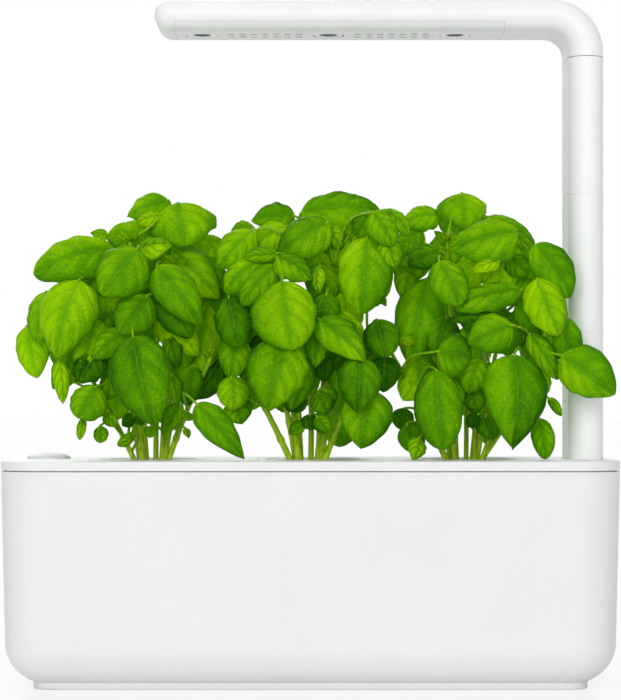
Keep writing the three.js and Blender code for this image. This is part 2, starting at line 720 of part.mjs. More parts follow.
function makePodCover(x) {
  const topZ = LID_TOP_Z - POD_COVER_DROP;
  const footZ = topZ - POD_COVER_THICKNESS;
  const width = podWidthAt(footZ) - 2 * (POD_WALL + FIT_GAP);
  return squareBlock(x, footZ, topZ, width, width, POD_CORNER_RADIUS - POD_WALL - FIT_GAP)
    .subtract(disc(x, 0, footZ - CUT_OVERRUN, topZ + CUT_OVERRUN, STEM_HOLE / 2));
}

// Basil. A leaf row is [base x, base z, tip x, tip z, width, depth, lean, turn]: lengths in
// shares of LEAF_LENGTH, depth measured towards the front, lean is how much nearer to the
// front the tip is than the base, and turn is the face's turn about the midrib in degrees.
const STALK_TOP_SHARES = [
  [-0.8, 1.15, 0.35], [-0.5, 1.85, 0.15], [-0.2, 2.2, 0.45], [0.05, 2.25, -0.1],
  [0.25, 1.95, 0.4], [0.45, 1.75, 0.1], [0.62, 1.05, 0.4], [-0.3, 1.6, -0.5], [0.3, 1.5, -0.5],
];
const FIRST_PLANT_SHARES = [
  [0.17, 2.6, -0.25, 2.51, 0.34, 0.1, 0.1, 30],
  [0.27, 2.58, 0.36, 2.16, 0.64, 0.35, 0.25, 0],
  [0.1, 2.26, -0.46, 2.28, 0.42, 0.2, 0.05, 30],
  [-0.36, 2.12, -1.15, 1.88, 0.5, 0.45, 0.1, 25],
  [-0.1, 2.1, -0.44, 1.64, 0.52, 0.9, 0.15, 5],
  [0.23, 2.12, 0.7, 1.63, 0.44, 0.25, 0.1, -10],
  [0.09, 1.93, 0.54, 1.33, 0.42, 0.85, 0.1, -5],
  [-0.7, 1.8, -0.91, 1.02, 0.58, 0.7, 0.15, 5],
  [-1.06, 1.7, -1.16, 1.19, 0.32, 0.3, 0.1, 15],
  [-1.26, 1.36, -1.17, 0.83, 0.32, 0.1, 0.1, 10],
  [-0.55, 1.42, -0.68, 0.82, 0.44, 0.4, 0.1, 10],
  [0, 1.64, -0.26, 1.26, 0.42, 0.85, 0.15, 0],
  [0.04, 1.66, 0.44, 1.24, 0.33, 0.7, 0.1, -20],
  [-0.13, 1.23, 0.09, 0.35, 0.53, 1.1, 0.1, 0],
  [-0.5, 1.1, -0.72, 0.79, 0.36, 0.5, 0.1, 20],
  [-0.52, 0.74, -0.7, 0.42, 0.35, 0.65, 0.1, 5],
  [-0.22, 1.28, -0.56, 1.02, 0.3, 0.6, 0.05, 15],
  [0.69, 1.58, 0.53, 0.83, 0.46, 0.2, 0.1, -5],
  [0.83, 1.04, 0.54, 0.62, 0.36, 0.15, 0.05, -15],
  [0.5, 0.56, 0.97, 0.02, 0.3, 0.95, 0.15, -10],
];
const SECOND_PLANT_SHARES = [
  [-0.08, 2.46, 0.77, 2.46, 0.5, 0.2, 0.05, -30],
  [-0.14, 2.47, -0.58, 2.43, 0.36, 0.1, 0.05, 20],
  [-0.58, 2.3, -0.92, 1.93, 0.36, 0.6, 0.1, 10],
  [0.18, 2.38, -0.3, 2.05, 0.46, 0.6, 0.1, 20],
  [-0.3, 1.95, -0.67, 1.55, 0.3, 0.95, 0.1, 10],
  [-0.48, 2, -0.84, 1.68, 0.32, 0.7, 0.05, 20],
  [0.58, 2.2, 0.52, 1.46, 0.54, 0.95, 0.15, 5],
  [-0.26, 1.77, -0.16, 1.1, 0.64, 1.1, 0.15, 0],
  [-0.8, 1.63, -0.69, 1.13, 0.38, 0.75, 0.1, 5],
  [0.18, 1.66, 0.14, 1.3, 0.3, 0.8, 0.05, 0],
  [0.1, 1.4, 0.57, 0.98, 0.38, 0.95, 0.1, -15],
  [-0.24, 1.2, -0.4, 0.5, 0.6, 1, 0.15, 5],
  [-0.06, 1.06, -0.16, 0.5, 0.34, 0.7, 0.1, -20],
  [0.5, 1.02, 0.48, 0.48, 0.41, 0.95, 0.1, 0],
  [0.62, 0.7, 0.52, 0.12, 0.5, 0.75, 0.1, 5],
  [0.62, 1.38, 0.72, 1.04, 0.3, 0.6, 0.05, 0],
  [-0.8, 0.84, -0.78, 0.5, 0.32, 0.6, 0.05, 0],
  [-0.78, 0.6, -0.7, 0.36, 0.3, 0.4, 0.05, 0],
];
const THIRD_PLANT_SHARES = [
  [-0.04, 2.67, -0.02, 2.34, 0.5, 0.3, 0.1, 0],
  [0.22, 2.46, 0.72, 2.14, 0.26, 0.15, 0.05, -35],
  [0.48, 2.28, -0.22, 2.1, 0.48, 0.8, 0.1, 20],
  [0.54, 1.7, -0.16, 1.53, 0.34, 0.7, 0.05, 30],
  [0.48, 1.62, 0.7, 1.24, 0.34, 0.5, 0.05, 0],
  [-0.39, 1.82, -0.62, 0.96, 0.46, 1.1, 0.1, 5],
  [-0.3, 1.92, -0.1, 1.48, 0.34, 0.85, 0.1, -10],
  [0.42, 1.34, -0.02, 1.16, 0.42, 0.95, 0.1, 15],
  [-0.32, 1.08, 0.02, 1.02, 0.42, 0.85, 0.05, -10],
  [-0.36, 1, -0.6, 0.62, 0.36, 0.8, 0.1, 10],
  [-0.35, 0.88, -0.28, 0.11, 0.42, 1.05, 0.1, 0],
  [0.12, 1.02, 0, 0.67, 0.32, 0.65, 0.05, 5],
  [0.44, 1.05, 0.42, 0.12, 0.6, 1, 0.15, -5],
];
const SIDE_TWIG_SHARES = [
  [0.18, 0, 0.1], [0.5, 0.55, 0.55], [0.68, 1, 0.72], [0.78, 1.5, 0.78], [0.7, 1.9, 0.74],
];
const SIDE_LEAF_SHARES = [
  [0.66, 2.14, 1.01, 1.62, 0.36, 0.8, 0.05, -10],
  [0.66, 1.8, 0.88, 1.24, 0.38, 0.95, 0.1, 0],
  [0.96, 1.4, 0.99, 0.91, 0.26, 0.78, 0.05, 0],
  [0.9, 1.04, 1.42, 0.66, 0.48, 1, 0.1, 0],
  [0.6, 1.26, 0.88, 0.8, 0.24, 0.8, 0.05, 0],
  [0.7, 0.42, 0.77, 0.01, 0.24, 0.7, 0.05, 0],
];
const LEAF_OUTLINE_SHARES = [[0.14, 0.4], [0.45, 0.5], [0.8, 0.35]];
const LEAF_BOW_SHARE = 0.14;
const LEAF_ROLL_DEGREES = 56;
const LEAF_SWELL_SHARE = 0.08;
const PETIOLE_DROP_SHARE = 0.14;
const REAR_WIDTH_SHARE = 0.46;
const REAR_SPREAD_SHARE = 0.72;
const REAR_HEIGHT_SHARE = 0.96;
const KNEE_HEIGHT_SHARE = 0.5;
const KNEE_SPREAD_SHARE = 0.36;
const STALK_STEPS = 3;
const STALK_SIDES = 4;
const PETIOLE_SIDES = 3;

function stalkPoint(path, share) {
  return new THREE.CatmullRomCurve3(path).getPoint(share);
}

function thinTube(points, radii, sides) {
  return loft(points.map((point, step) => {
    const before = points[Math.max(step - 1, 0)];
    const after = points[Math.min(step + 1, points.length - 1)];
    const along = after.clone().sub(before).normalize();
    const side = new THREE.Vector3(0, 1, 0).cross(along).normalize();
    const other = along.clone().cross(side);
    return Array.from({ length: sides }, (_, k) => {
      const angle = k / sides * Math.PI * 2;
      return point.clone()
        .addScaledVector(side, radii[step] * Math.cos(angle))
        .addScaledVector(other, radii[step] * Math.sin(angle));
    });
  }));
}

// Rings of a leaf, which curves down to both edges and swells between midrib and edge.
// Each goes from the left edge over the upper face to the right edge and back underneath.
function leafRings(row, front) {
  const [baseX, baseZ, tipX, tipZ, width, depth, lean, turn] = row;
  const base = new THREE.Vector3(baseX, -front * (depth - lean / 2), baseZ);
  const tip = new THREE.Vector3(tipX, -front * (depth + lean / 2), tipZ);
  base.multiplyScalar(LEAF_LENGTH);
  tip.multiplyScalar(LEAF_LENGTH);
  const along = tip.clone().sub(base);
  const forward = along.clone().normalize();
  const viewer = new THREE.Vector3(0, -front, 0);
  const across = forward.clone().cross(viewer).normalize();
  across.applyAxisAngle(forward, THREE.MathUtils.degToRad(turn * front));
  const face = across.clone().cross(forward).normalize();
  const rings = [[base]];
  LEAF_OUTLINE_SHARES.forEach(([share, half]) => {
    const rise = LEAF_BOW_SHARE * along.length() * 4 * share * (1 - share);
    const middle = base.clone().addScaledVector(along, share).addScaledVector(face, rise);
    const reach = half * width * LEAF_LENGTH;
    const roll = THREE.MathUtils.degToRad(LEAF_ROLL_DEGREES);
    const radius = reach / Math.sin(roll);
    const spot = (side, lift) => middle.clone()
      .addScaledVector(across, radius * Math.sin(roll * side))
      .addScaledVector(face, radius * (Math.cos(roll * side) - 1) + lift);
    const swell = LEAF_SWELL_SHARE * reach;
    const skin = LEAF_THICKNESS / 2;
    rings.push([
      spot(-1, 0), spot(-0.5, swell + skin), spot(0, skin), spot(0.5, swell + skin),
      spot(1, 0), spot(0.5, swell - skin), spot(0, -skin), spot(-0.5, swell - skin),
    ]);
  });
  rings.push([tip]);
  return rings;
}

// How far a leaf is moved sideways so that it hangs clear of the plant or column beside it
function fenceShift(rings, fences) {
  let shift = 0;
  rings.flat().forEach((point) => {
    const left = fences.left + fences.leftSlope * point.y;
    const right = fences.right + fences.rightSlope * point.y;
    if (point.x + shift > right) shift = right - point.x;
    if (point.x + shift < left) shift = left - point.x;
  });
  return shift;
}

function makeBasil(x, rows, fences) {
  const footZ = spongeTopZ + FIT_GAP;
  const stemHeight = LID_TOP_Z - footZ;
  const stalkFootZ = CROWN_HEIGHT / 2 - stemHeight;
  const paths = STALK_TOP_SHARES.map((share, k) => {
    const angle = k / STALK_TOP_SHARES.length * Math.PI * 2;
    const foot = new THREE.Vector3(
      STALK_RING_RADIUS * Math.cos(angle), STALK_RING_RADIUS * Math.sin(angle), stalkFootZ,
    );
    const top = new THREE.Vector3(share[0], -share[2], share[1]).multiplyScalar(LEAF_LENGTH);
    const knee = foot.clone().lerp(top, KNEE_HEIGHT_SHARE);
    knee.x = foot.x + (top.x - foot.x) * KNEE_SPREAD_SHARE;
    return [foot, knee, top];
  });
  const samples = [];
  const solids = paths.map((path) => {
    const points = [];
    const radii = [];
    for (let step = 0; step <= STALK_STEPS; step++) {
      const share = step / STALK_STEPS;
      points.push(stalkPoint(path, share));
      radii.push(STALK_FOOT_RADIUS + (STALK_TOP_RADIUS - STALK_FOOT_RADIUS) * share);
      if (step > 0) samples.push(points[step], points[step].clone().lerp(points[step - 1], 0.5));
    }
    return thinTube(points, radii, STALK_SIDES);
  });
  solids.push(disc(0, 0, -stemHeight, -stemHeight + CROWN_HEIGHT, CROWN_RADIUS));
  addLeaves(solids, samples, rows, fences, 1);
  const rear = rows.filter((row) => row[4] >= REAR_WIDTH_SHARE).map((row) => {
    const [baseX, baseZ, tipX, tipZ, ...rest] = row;
    const spread = REAR_SPREAD_SHARE;
    const height = REAR_HEIGHT_SHARE;
    return [baseX * spread, baseZ * height, tipX * spread, tipZ * height, ...rest];
  });
  addLeaves(solids, samples, rear, fences, -1);
  return plantSkin(solids, x);
}

function addLeaves(solids, samples, rows, fences, front) {
  rows.forEach((row) => {
    const rings = leafRings(row, front);
    const shift = fenceShift(rings, fences);
    rings.flat().forEach((point) => point.setX(point.x + shift));
    solids.push(loft(rings));
    const base = rings[0][0];
    const inside = rings[1][2].clone().lerp(rings[1][6], 0.5);
    const wish = base.clone().setZ(base.z - PETIOLE_DROP_SHARE * LEAF_LENGTH);
    const start = samples.reduce((best, sample) => (
      sample.distanceTo(wish) < best.distanceTo(wish) ? sample : best
    ));
    solids.push(thinTube([start, inside], [PETIOLE_RADIUS, PETIOLE_RADIUS], PETIOLE_SIDES));
  });
}

function makeSideTwig(x) {
  const path = SIDE_TWIG_SHARES.map((share) => (
    new THREE.Vector3(share[0], -share[2], share[1]).multiplyScalar(LEAF_LENGTH)
  ));
  const points = [];
  const count = 2 * STALK_STEPS;
  for (let step = 0; step <= count; step++) points.push(stalkPoint(path, step / count));
  const radii = points.map(() => STALK_TOP_RADIUS);
  const solids = [thinTube(points, radii, STALK_SIDES)];
  const fences = { left: -LEAF_LENGTH, leftSlope: 0, right: 2 * LEAF_LENGTH, rightSlope: 0 };
  addLeaves(solids, points.slice(2), SIDE_LEAF_SHARES, fences, 1);
  return plantSkin(solids, x);
}

const halfPitch = podPitch / 2 - PLANT_GAP / 2;
const columnReach = columnX - COLUMN_WIDTH / 2 - PLANT_GAP - podXs[2];
const plants = [
  {
    rows: FIRST_PLANT_SHARES,
    fences: { left: -podPitch, leftSlope: 0, right: halfPitch, rightSlope: FENCE_SLOPE },
  },
  {
    rows: SECOND_PLANT_SHARES,
    fences: { left: -halfPitch, leftSlope: FENCE_SLOPE, right: halfPitch, rightSlope: 0 },
  },
  {
    rows: THIRD_PLANT_SHARES,
    fences: { left: -halfPitch, leftSlope: 0, right: columnReach, rightSlope: 0 },
  },
];

// Materials
function finish(color, roughness, metalness = 0) {
  return () => new THREE.MeshStandardMaterial({ color, roughness, metalness });
}
const whiteShell = finish(0xf4f5f6, 0.35);
const greyPlastic = finish(0xd9dbdc, 0.5);
const paleInsert = finish(0xe9ebea, 0.45);
const blackPlastic = finish(0x17181a, 0.4);
const blackGlass = finish(0x0b0b0d, 0.15);
const clearLens = finish(0xf2f4f2, 0.12);
const boardGreen = finish(0x2c6b3f, 0.5);
const aluminium = finish(0xc6c9cc, 0.35, 1);
const brass = finish(0xb59a4c, 0.3, 1);
const sponge = finish(0x4a3a2c, 0.95);
const leafGreen = finish(0x4b8f14, 0.55);
const foam = finish(0xe4e4e0, 0.9);

// Assembly
const group = new THREE.Group();

function place(name, solid, material) {
  const mesh = new THREE.Mesh(geometryFrom(solid), material());
  mesh.name = name;
  group.add(mesh);
}

place('water_tank', makeWaterTank(), whiteShell);
place('foot_plinth', makeFootPlinth(), greyPlastic);
place('lid', makeLid(), whiteShell);
place('float_guide', makeFloatGuide(), greyPlastic);
place('float_cap', makeFloatCap(), whiteShell);
place('float_buoy', makeFloatBuoy(), foam);
place('lamp_socket', makeLampSocket(), whiteShell);
place('dc_inlet', makeDcInlet(), blackPlastic);
place('electronics_tray', makeElectronicsTray(), greyPlastic);
place('timer_board', makeTimerBoard(), boardGreen);

podXs.forEach((x, index) => {
  const number = index + 1;
  place(`pod_cup_${number}`, makePodCup(x), paleInsert);
  place(`grow_sponge_${number}`, makeGrowSponge(x), sponge);
  place(`pod_cover_${number}`, makePodCover(x), paleInsert);
  const { rows, fences } = plants[index];
  place(`basil_${number}`, makeBasil(x, rows, fences), leafGreen);
});
place('basil_3_side_leaves', makeSideTwig(podXs[2]), leafGreen);

const basePinFootZ = socketFloorZ - SOCKET_FLOOR;
place('contact_pin_base', makeContactPin(socketFloorZ, basePinFootZ), brass);
for (let arm = 0; arm < ARM_COUNT; arm++) {
  const seatZ = socketFloorZ + arm * ARM_PITCH;
  const topZ = seatZ + ARM_PITCH;
  place(`extension_arm_${arm + 1}`, makeExtensionArm(seatZ), whiteShell);
  place(`contact_pin_${arm + 1}`, makeContactPin(topZ, topZ - PIN_SEAT), brass);
}

place('lamp_housing', makeLampHousing(), whiteShell);
place('lamp_cover', makeLampCover(), whiteShell);
place('heat_sink', makeHeatSink(), aluminium);
place('led_board', makeLedBoard(), boardGreen);
ledXs.forEach((x, index) => {
  place(`led_lens_${index + 1}`, makeLedLens(x), clearLens);
  place(`led_window_${index + 1}`, makeLedWindow(x), blackGlass);
});

export default group;
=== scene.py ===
"""Countertop hydroponic garden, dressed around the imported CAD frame.

Lengths in the code are millimetres in the row frame (+X along the tank towards the lamp
column, -Y towards the front, +Z up) and become metres where a mesh is made.
"""
import math
import random
from collections import namedtuple
from functools import partial

import bmesh
import bpy
from mathutils import Matrix, Vector, noise


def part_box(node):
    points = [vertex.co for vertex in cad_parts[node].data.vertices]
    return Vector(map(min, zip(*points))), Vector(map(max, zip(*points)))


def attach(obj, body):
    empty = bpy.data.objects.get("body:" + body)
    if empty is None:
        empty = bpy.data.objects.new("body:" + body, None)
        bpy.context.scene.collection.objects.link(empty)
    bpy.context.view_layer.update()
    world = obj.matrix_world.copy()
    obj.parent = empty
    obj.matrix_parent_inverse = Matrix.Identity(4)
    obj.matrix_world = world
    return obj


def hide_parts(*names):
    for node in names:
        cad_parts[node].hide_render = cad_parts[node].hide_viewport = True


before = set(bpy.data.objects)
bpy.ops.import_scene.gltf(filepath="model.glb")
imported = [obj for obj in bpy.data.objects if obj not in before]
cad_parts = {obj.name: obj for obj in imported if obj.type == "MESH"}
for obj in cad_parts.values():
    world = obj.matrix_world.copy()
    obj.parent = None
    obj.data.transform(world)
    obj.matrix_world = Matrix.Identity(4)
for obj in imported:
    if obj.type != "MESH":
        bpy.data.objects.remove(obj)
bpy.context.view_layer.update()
MM = 0.001

# Sizes of the garden, most of them shared with the CAD source
HALF_LENGTH = 152.0
HALF_DEPTH = 63.5
CORNER_RADIUS = 24.0
CORNER_INSET_SHARE = 0.9
LID_TOP = 112.0
SKIRT_Z = 107.3
RIM_Z = 106.7
SHOULDER_Z = 98.7
PLATE_Z = 109.6
LID_EDGE_ROUND = 1.2
LID_SIDE_WALL = 2.8
LIP_THICKNESS = 1.6
LIP_INSET = 1.7
GROOVE_DEPTH = 1.1
GROOVE_REACH = 1.6
TANK_WALL = 2.5
MOUTH_STEP = 1.1
TANK_DRAFT = 2.0
BELLY_INSET = 24.5
BELLY_HEIGHT = 21.0
BELLY_ANGLE = math.radians(64)
FOOT_HEIGHT = 3.5
FOOT_EDGE_ROUND = 0.8
FIT_GAP = 0.3
OVERRUN = 2.0
POD_FLANGE = 51.0
POD_FLANGE_THICKNESS = 2.0
POD_MOUTH = 46.0
POD_FOOT = 36.0
POD_DEPTH = 58.0
POD_WALL = 1.4
POD_CORNER_RADIUS = 11.0
POD_LEDGE_WALL = 2.4
POD_WELL_DEPTH = 8.0
POD_WATER_HOLE = 14.0
STEM_HOLE = 23.0
FLOAT_HOLE_RADIUS = 11.5
CAP_DOME = 2.4
CAP_CHAMFER = 0.4
STUD = 6.0
SPONGE_TOP = LID_TOP - 5
COLUMN_X = 137.9
COLUMN_WIDTH = 17.6
COLUMN_DEPTH = 46.0
COLUMN_WALL = 2.2
ARM_PITCH = 68.7
SOCKET_FLOOR_Z = 107.0
SOCKET_FLOOR = 3.0
SOCKET_WALL = 2.4
SPIGOT_HEIGHT = 8.0
BORE_DEPTH = 9.0
SEAM_GAP = 0.04
SEAM_ROUND = 0.12
PIN_RADIUS = 1.5
PIN_LENGTH = 5.0
PIN_SEAT = 3.0
BAR_THICKNESS = 16.0
BEND_INNER_RADIUS = 10.0
COVER_HEIGHT = 4.0
COVER_WALL = 1.6
LENS_RADIUS = 7.6
LENS_THICKNESS = 2.4
WINDOW_RADIUS = 4.3
VENT_PITCH = 5.7
VENT_LENGTH = 3.2
VENT_WIDTH = 1.4
VENT_ROW_SPACING = 9.0
VENT_COLUMNS = 7
NOTCH_GAP = 0.6

CORNER_STEPS = 14
LATHE_STEPS = 16
WELD = 0.002
SMOOTH_ANGLE = math.radians(34)

BELLY_Z = FOOT_HEIGHT + BELLY_HEIGHT * math.sin(BELLY_ANGLE)
FOOT_INSET = TANK_DRAFT + BELLY_INSET * (1 - math.cos(BELLY_ANGLE))


def span(node):
    """Lowest and highest corner of a CAD node, in millimetres."""
    low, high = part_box(node)
    return low / MM, high / MM


def middle_x(node):
    low, high = span(node)
    return (low.x + high.x) / 2


pod_xs = [middle_x(f"pod_cup_{number}") for number in (1, 2, 3)]
led_xs = [middle_x(f"led_lens_{number}") for number in (1, 2, 3)]
float_x = middle_x("float_cap")
inlet_low, inlet_high = span("dc_inlet")
cover_low, cover_high = span("lamp_cover")
head_low, head_high = span("lamp_housing")


# Mesh helpers
def add_object(name, mesh):
    data = bpy.data.meshes.new(name)
    mesh.to_mesh(data)
    mesh.free()
    obj = bpy.data.objects.new(name, data)
    bpy.context.scene.collection.objects.link(obj)
    return obj


def loft(name, rings, loop=False):
    """A closed skin through rings of equally many points."""
    mesh = bmesh.new()
    levels = [[mesh.verts.new(point * MM) for point in ring] for ring in rings]
    pairs = list(zip(levels, levels[1:]))
    if loop:
        pairs.append((levels[-1], levels[0]))
    else:
        mesh.faces.new(list(reversed(levels[0])))
        mesh.faces.new(levels[-1])
    for low, high in pairs:
        for i in range(len(low)):
            j = (i + 1) % len(low)
            mesh.faces.new((low[i], low[j], high[j], high[i]))
    bmesh.ops.remove_doubles(mesh, verts=mesh.verts, dist=WELD * MM)
    bmesh.ops.recalc_face_normals(mesh, faces=mesh.faces)
    return add_object(name, mesh)


def box_ring(half_x, half_y, radius, z, x=0.0, steps=CORNER_STEPS):
    """A level rounded rectangle."""
    ring = []
    for quarter, (side_x, side_y) in enumerate(((1, 1), (-1, 1), (-1, -1), (1, -1))):
        for step in range(steps + 1):
            angle = (quarter + step / steps) * math.pi / 2
            ring.append(Vector((
                x + side_x * (half_x - radius) + radius * math.cos(angle),
                side_y * (half_y - radius) + radius * math.sin(angle),
                z,
            )))
    return ring


def round_ring(radius, z, x, steps=CORNER_STEPS):
    return box_ring(radius, radius, radius, z, x, steps)


def square_ring(half, radius, z, x):
    return box_ring(half, half, radius, z, x)


def plan_ring(inset, z):
    """The garden's outline in plan, drawn in from the lid's edge."""
    return box_ring(
        HALF_LENGTH - inset, HALF_DEPTH - inset, CORNER_RADIUS - inset * CORNER_INSET_SHARE, z
    )


def column_ring(inset, z):
    half = COLUMN_WIDTH / 2 - inset
    return box_ring(half, COLUMN_DEPTH / 2 - inset, half, z, COLUMN_X)


def quarter_turn(steps):
    """Shares of its radius that a rounded edge still has to go out, and has gone up."""
    turns = [step / steps * math.pi / 2 for step in range(steps + 1)]
    return [(1 - math.sin(turn), 1 - math.cos(turn)) for turn in turns]


def block(name, x0, x1, y0, y1, z0, z1):
    mesh = bmesh.new()
    bmesh.ops.create_cube(mesh, size=1)
    for vert in mesh.verts:
        vert.co.x = (x0 if vert.co.x < 0 else x1) * MM
        vert.co.y = (y0 if vert.co.y < 0 else y1) * MM
        vert.co.z = (z0 if vert.co.z < 0 else z1) * MM
    return add_object(name, mesh)


def settle(obj):
    """Replaces an object's mesh by what its modifiers make of it."""
    graph = bpy.context.evaluated_depsgraph_get()
    mesh = bpy.data.meshes.new_from_object(obj.evaluated_get(graph))
    obj.modifiers.clear()
    obj.data = mesh


def carve(obj, cutters, operation="DIFFERENCE"):
    for cutter in cutters:
        modifier = obj.modifiers.new("carve", "BOOLEAN")
        modifier.operation = operation
        modifier.solver = "EXACT"
        modifier.object = cutter
        settle(obj)
        bpy.data.objects.remove(cutter)
    return obj


def tidy(obj):
    """Joins the coplanar faces that carving leaves."""
    mesh = bmesh.new()
    mesh.from_mesh(obj.data)
    bmesh.ops.remove_doubles(mesh, verts=mesh.verts, dist=WELD * MM)
    bmesh.ops.dissolve_limit(
        mesh, angle_limit=math.radians(0.4), verts=mesh.verts, edges=mesh.edges
    )
    mesh.to_mesh(obj.data)
    mesh.free()


def soften(obj, width, segments=2):
    """Rounds the sharp edges and smooths the rest."""
    obj.data.polygons.foreach_set("use_smooth", [True] * len(obj.data.polygons))
    edge = obj.modifiers.new("edge", "BEVEL")
    edge.width = width * MM
    edge.segments = segments
    edge.limit_method = "ANGLE"
    edge.angle_limit = SMOOTH_ANGLE
    normals = obj.modifiers.new("normals", "WEIGHTED_NORMAL")
    normals.keep_sharp = True
    settle(obj)
    return obj


def dress(obj, body, slot, node, look=None):
    """Gives a piece its body and its look, the slot's own unless a look is given, and hides the
    CAD node it stands for.
    """
    # Clearing an empty list would still reset which material each face shows
    if len(obj.data.materials):
        obj.data.materials.clear()
    obj.data.materials.append(looks[look or slot])
    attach(obj, body)
    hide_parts(node)
    return obj


# Materials, kept by name, which is also the slot unless a piece says otherwise
looks = {}


class Graph:
    """A node tree, with short ways to add the nodes that the materials use."""

    def __init__(self, tree):
        self.nodes = tree.nodes
        self.links = tree.links

    def fill(self, node, inputs):
        """Sets each named input to a number or colour, or links it to another node's output."""
        for name, value in inputs.items():
            if isinstance(value, bpy.types.NodeSocket):
                self.links.new(value, node.inputs[name])
            else:
                node.inputs[name].default_value = value
        return node

    def add(self, kind, inputs=None):
        return self.fill(self.nodes.new("ShaderNode" + kind), inputs or {})

    def math(self, operation, first, second=None):
        node = self.add("Math")
        node.operation = operation
        self.fill(node, {0: first} if second is None else {0: first, 1: second})
        return node.outputs[0]

    def place(self):
        return self.add("TexCoord").outputs["Object"]

    def tone(self):
        """The tone that the mesh of a plant carries from point to point, on the leaves partly
        their own colour and partly painted light and shade.
        """
        node = self.add("Attribute")
        node.attribute_name = "tone"
        return node.outputs["Fac"]

    def noise(self, place, scale, detail=3.0, stretch=None):
        if stretch:
            place = self.add("Mapping", {"Vector": place, "Scale": stretch}).outputs["Vector"]
        texture = self.add("TexNoise", {"Vector": place, "Scale": scale, "Detail": detail})
        return texture.outputs["Fac"]

    def ramp(self, source, stops):
        node = self.add("ValToRGB", {"Fac": source})
        elements = node.color_ramp.elements
        while len(elements) < len(stops):
            elements.new(0.5)
        for element, (place, colour) in zip(elements, stops):
            element.position = place
            element.color = (*colour, 1.0)
        return node.outputs["Color"]

    def spread(self, source, low, high):
        """A source that runs from 0 to 1, made to run from low to high."""
        node = self.add("MapRange", {"Value": source, "To Min": low, "To Max": high})
        return node.outputs["Result"]

    def blend(self, share, first, second):
        node = self.add("Mix")
        node.data_type = "RGBA"
        self.fill(node, {"Factor": share, "A": first, "B": second})
        return node.outputs["Result"]

    def bump(self, source, height):
        node = self.add("Bump", {"Height": source, "Distance": height, "Strength": 1.0})
        return node.outputs["Normal"]

    def show_mix(self, share, first, second):
        """Makes a mix of two shaders the material's surface."""
        mix = self.add("MixShader", {0: share, 1: first.outputs[0], 2: second.outputs[0]})
        self.fill(self.nodes["Material Output"], {"Surface": mix.outputs["Shader"]})


def new_material(name):
    """Adds a material to the looks and returns its graph and its main shader."""
    looks[name] = bpy.data.materials.new(name)
    looks[name].use_nodes = True
    graph = Graph(looks[name].node_tree)
    return graph, graph.nodes["Principled BSDF"]


def moulded(name, colour, roughness, grain=2600.0, relief=0.00002, shade=0.975,
            metallic=0.0, specular=0.5, stretch=None):
    """Moulded, painted or turned stock: fine grain, patches of sheen, a faint cloudiness."""
    graph, shader = new_material(name)
    place = graph.place()
    cloud = graph.noise(place, 22.0, 4.0, stretch)
    sheen = graph.noise(place, 160.0, 4.0, stretch)
    fine = graph.noise(place, grain, 2.0, stretch)
    dark = tuple(channel * shade for channel in colour)
    graph.fill(shader, {
        "Base Color": graph.ramp(cloud, [(0.35, dark), (0.65, colour)]),
        "Roughness": graph.spread(sheen, roughness * 0.85, roughness * 1.15),
        "Normal": graph.bump(fine, relief),
        "Metallic": metallic,
        "Specular IOR Level": specular,
    })


moulded("white_shell", (0.9, 0.9, 0.91), 0.34, specular=0.25)
# The float button takes the white shell painted darker: painted shade on the same white moulding.
moulded("white_shell_painted_shade", (0.83, 0.83, 0.84), 0.45, specular=0.08)
# The lamp's arms, head and underside take the white shell painted lighter: painted light on the
# same white moulding.
moulded("white_shell_painted_light", (0.955, 0.95, 0.965), 0.34, specular=0.32)
moulded("grey_plastic", (0.8, 0.81, 0.82), 0.5, grain=1500, relief=0.00004)
moulded("pale_insert", (0.86, 0.87, 0.86), 0.46, grain=1700, relief=0.00003)
moulded("black_plastic", (0.02, 0.02, 0.023), 0.42, relief=0.00003, shade=0.7,
        specular=0.15)
moulded("black_window", (0.004, 0.004, 0.005), 0.3, shade=0.8, specular=0.02)
moulded("lens", (0.86, 0.88, 0.87), 0.12, relief=0.000005)
moulded("circuit_board", (0.02, 0.12, 0.04), 0.4, grain=900, shade=0.6)
moulded("aluminium", (0.72, 0.73, 0.75), 0.34, metallic=1.0, shade=0.9,
        stretch=(0.05, 1.0, 1.0))
moulded("brass", (0.72, 0.52, 0.2), 0.28, metallic=1.0, shade=0.85,
        stretch=(1.0, 1.0, 0.05))
moulded("foam", (0.82, 0.82, 0.79), 0.85, grain=900, relief=0.0002, specular=0.2)


def make_sponge_material():
    graph, shader = new_material("sponge")
    fibre = graph.noise(graph.place(), 420.0, 8.0)
    graph.fill(shader, {
        "Base Color": graph.ramp(fibre, [
            (0.3, (0.012, 0.008, 0.005)), (0.55, (0.06, 0.037, 0.02)), (0.75, (0.16, 0.1, 0.06)),
        ]),
        "Roughness": 0.95,
        "Specular IOR Level": 0.15,
        "Normal": graph.bump(fibre, 0.0008),
    })


make_sponge_material()


# Tank and foot
def tank_rings(wall, top, steps=18):
    rings = []
    for step in range(steps + 1):
        angle = BELLY_ANGLE * (1 - step / steps)
        inset = TANK_DRAFT + wall + (BELLY_INSET - wall) * (1 - math.cos(angle))
        rings.append(plan_ring(inset, BELLY_Z - (BELLY_HEIGHT - wall) * math.sin(angle)))
    for share in (0.25, 0.5, 0.75, 1):
        z = BELLY_Z + (RIM_Z - BELLY_Z) * share
        if z < top:
            rings.append(plan_ring(wall + TANK_DRAFT * (1 - share), z))
    return rings


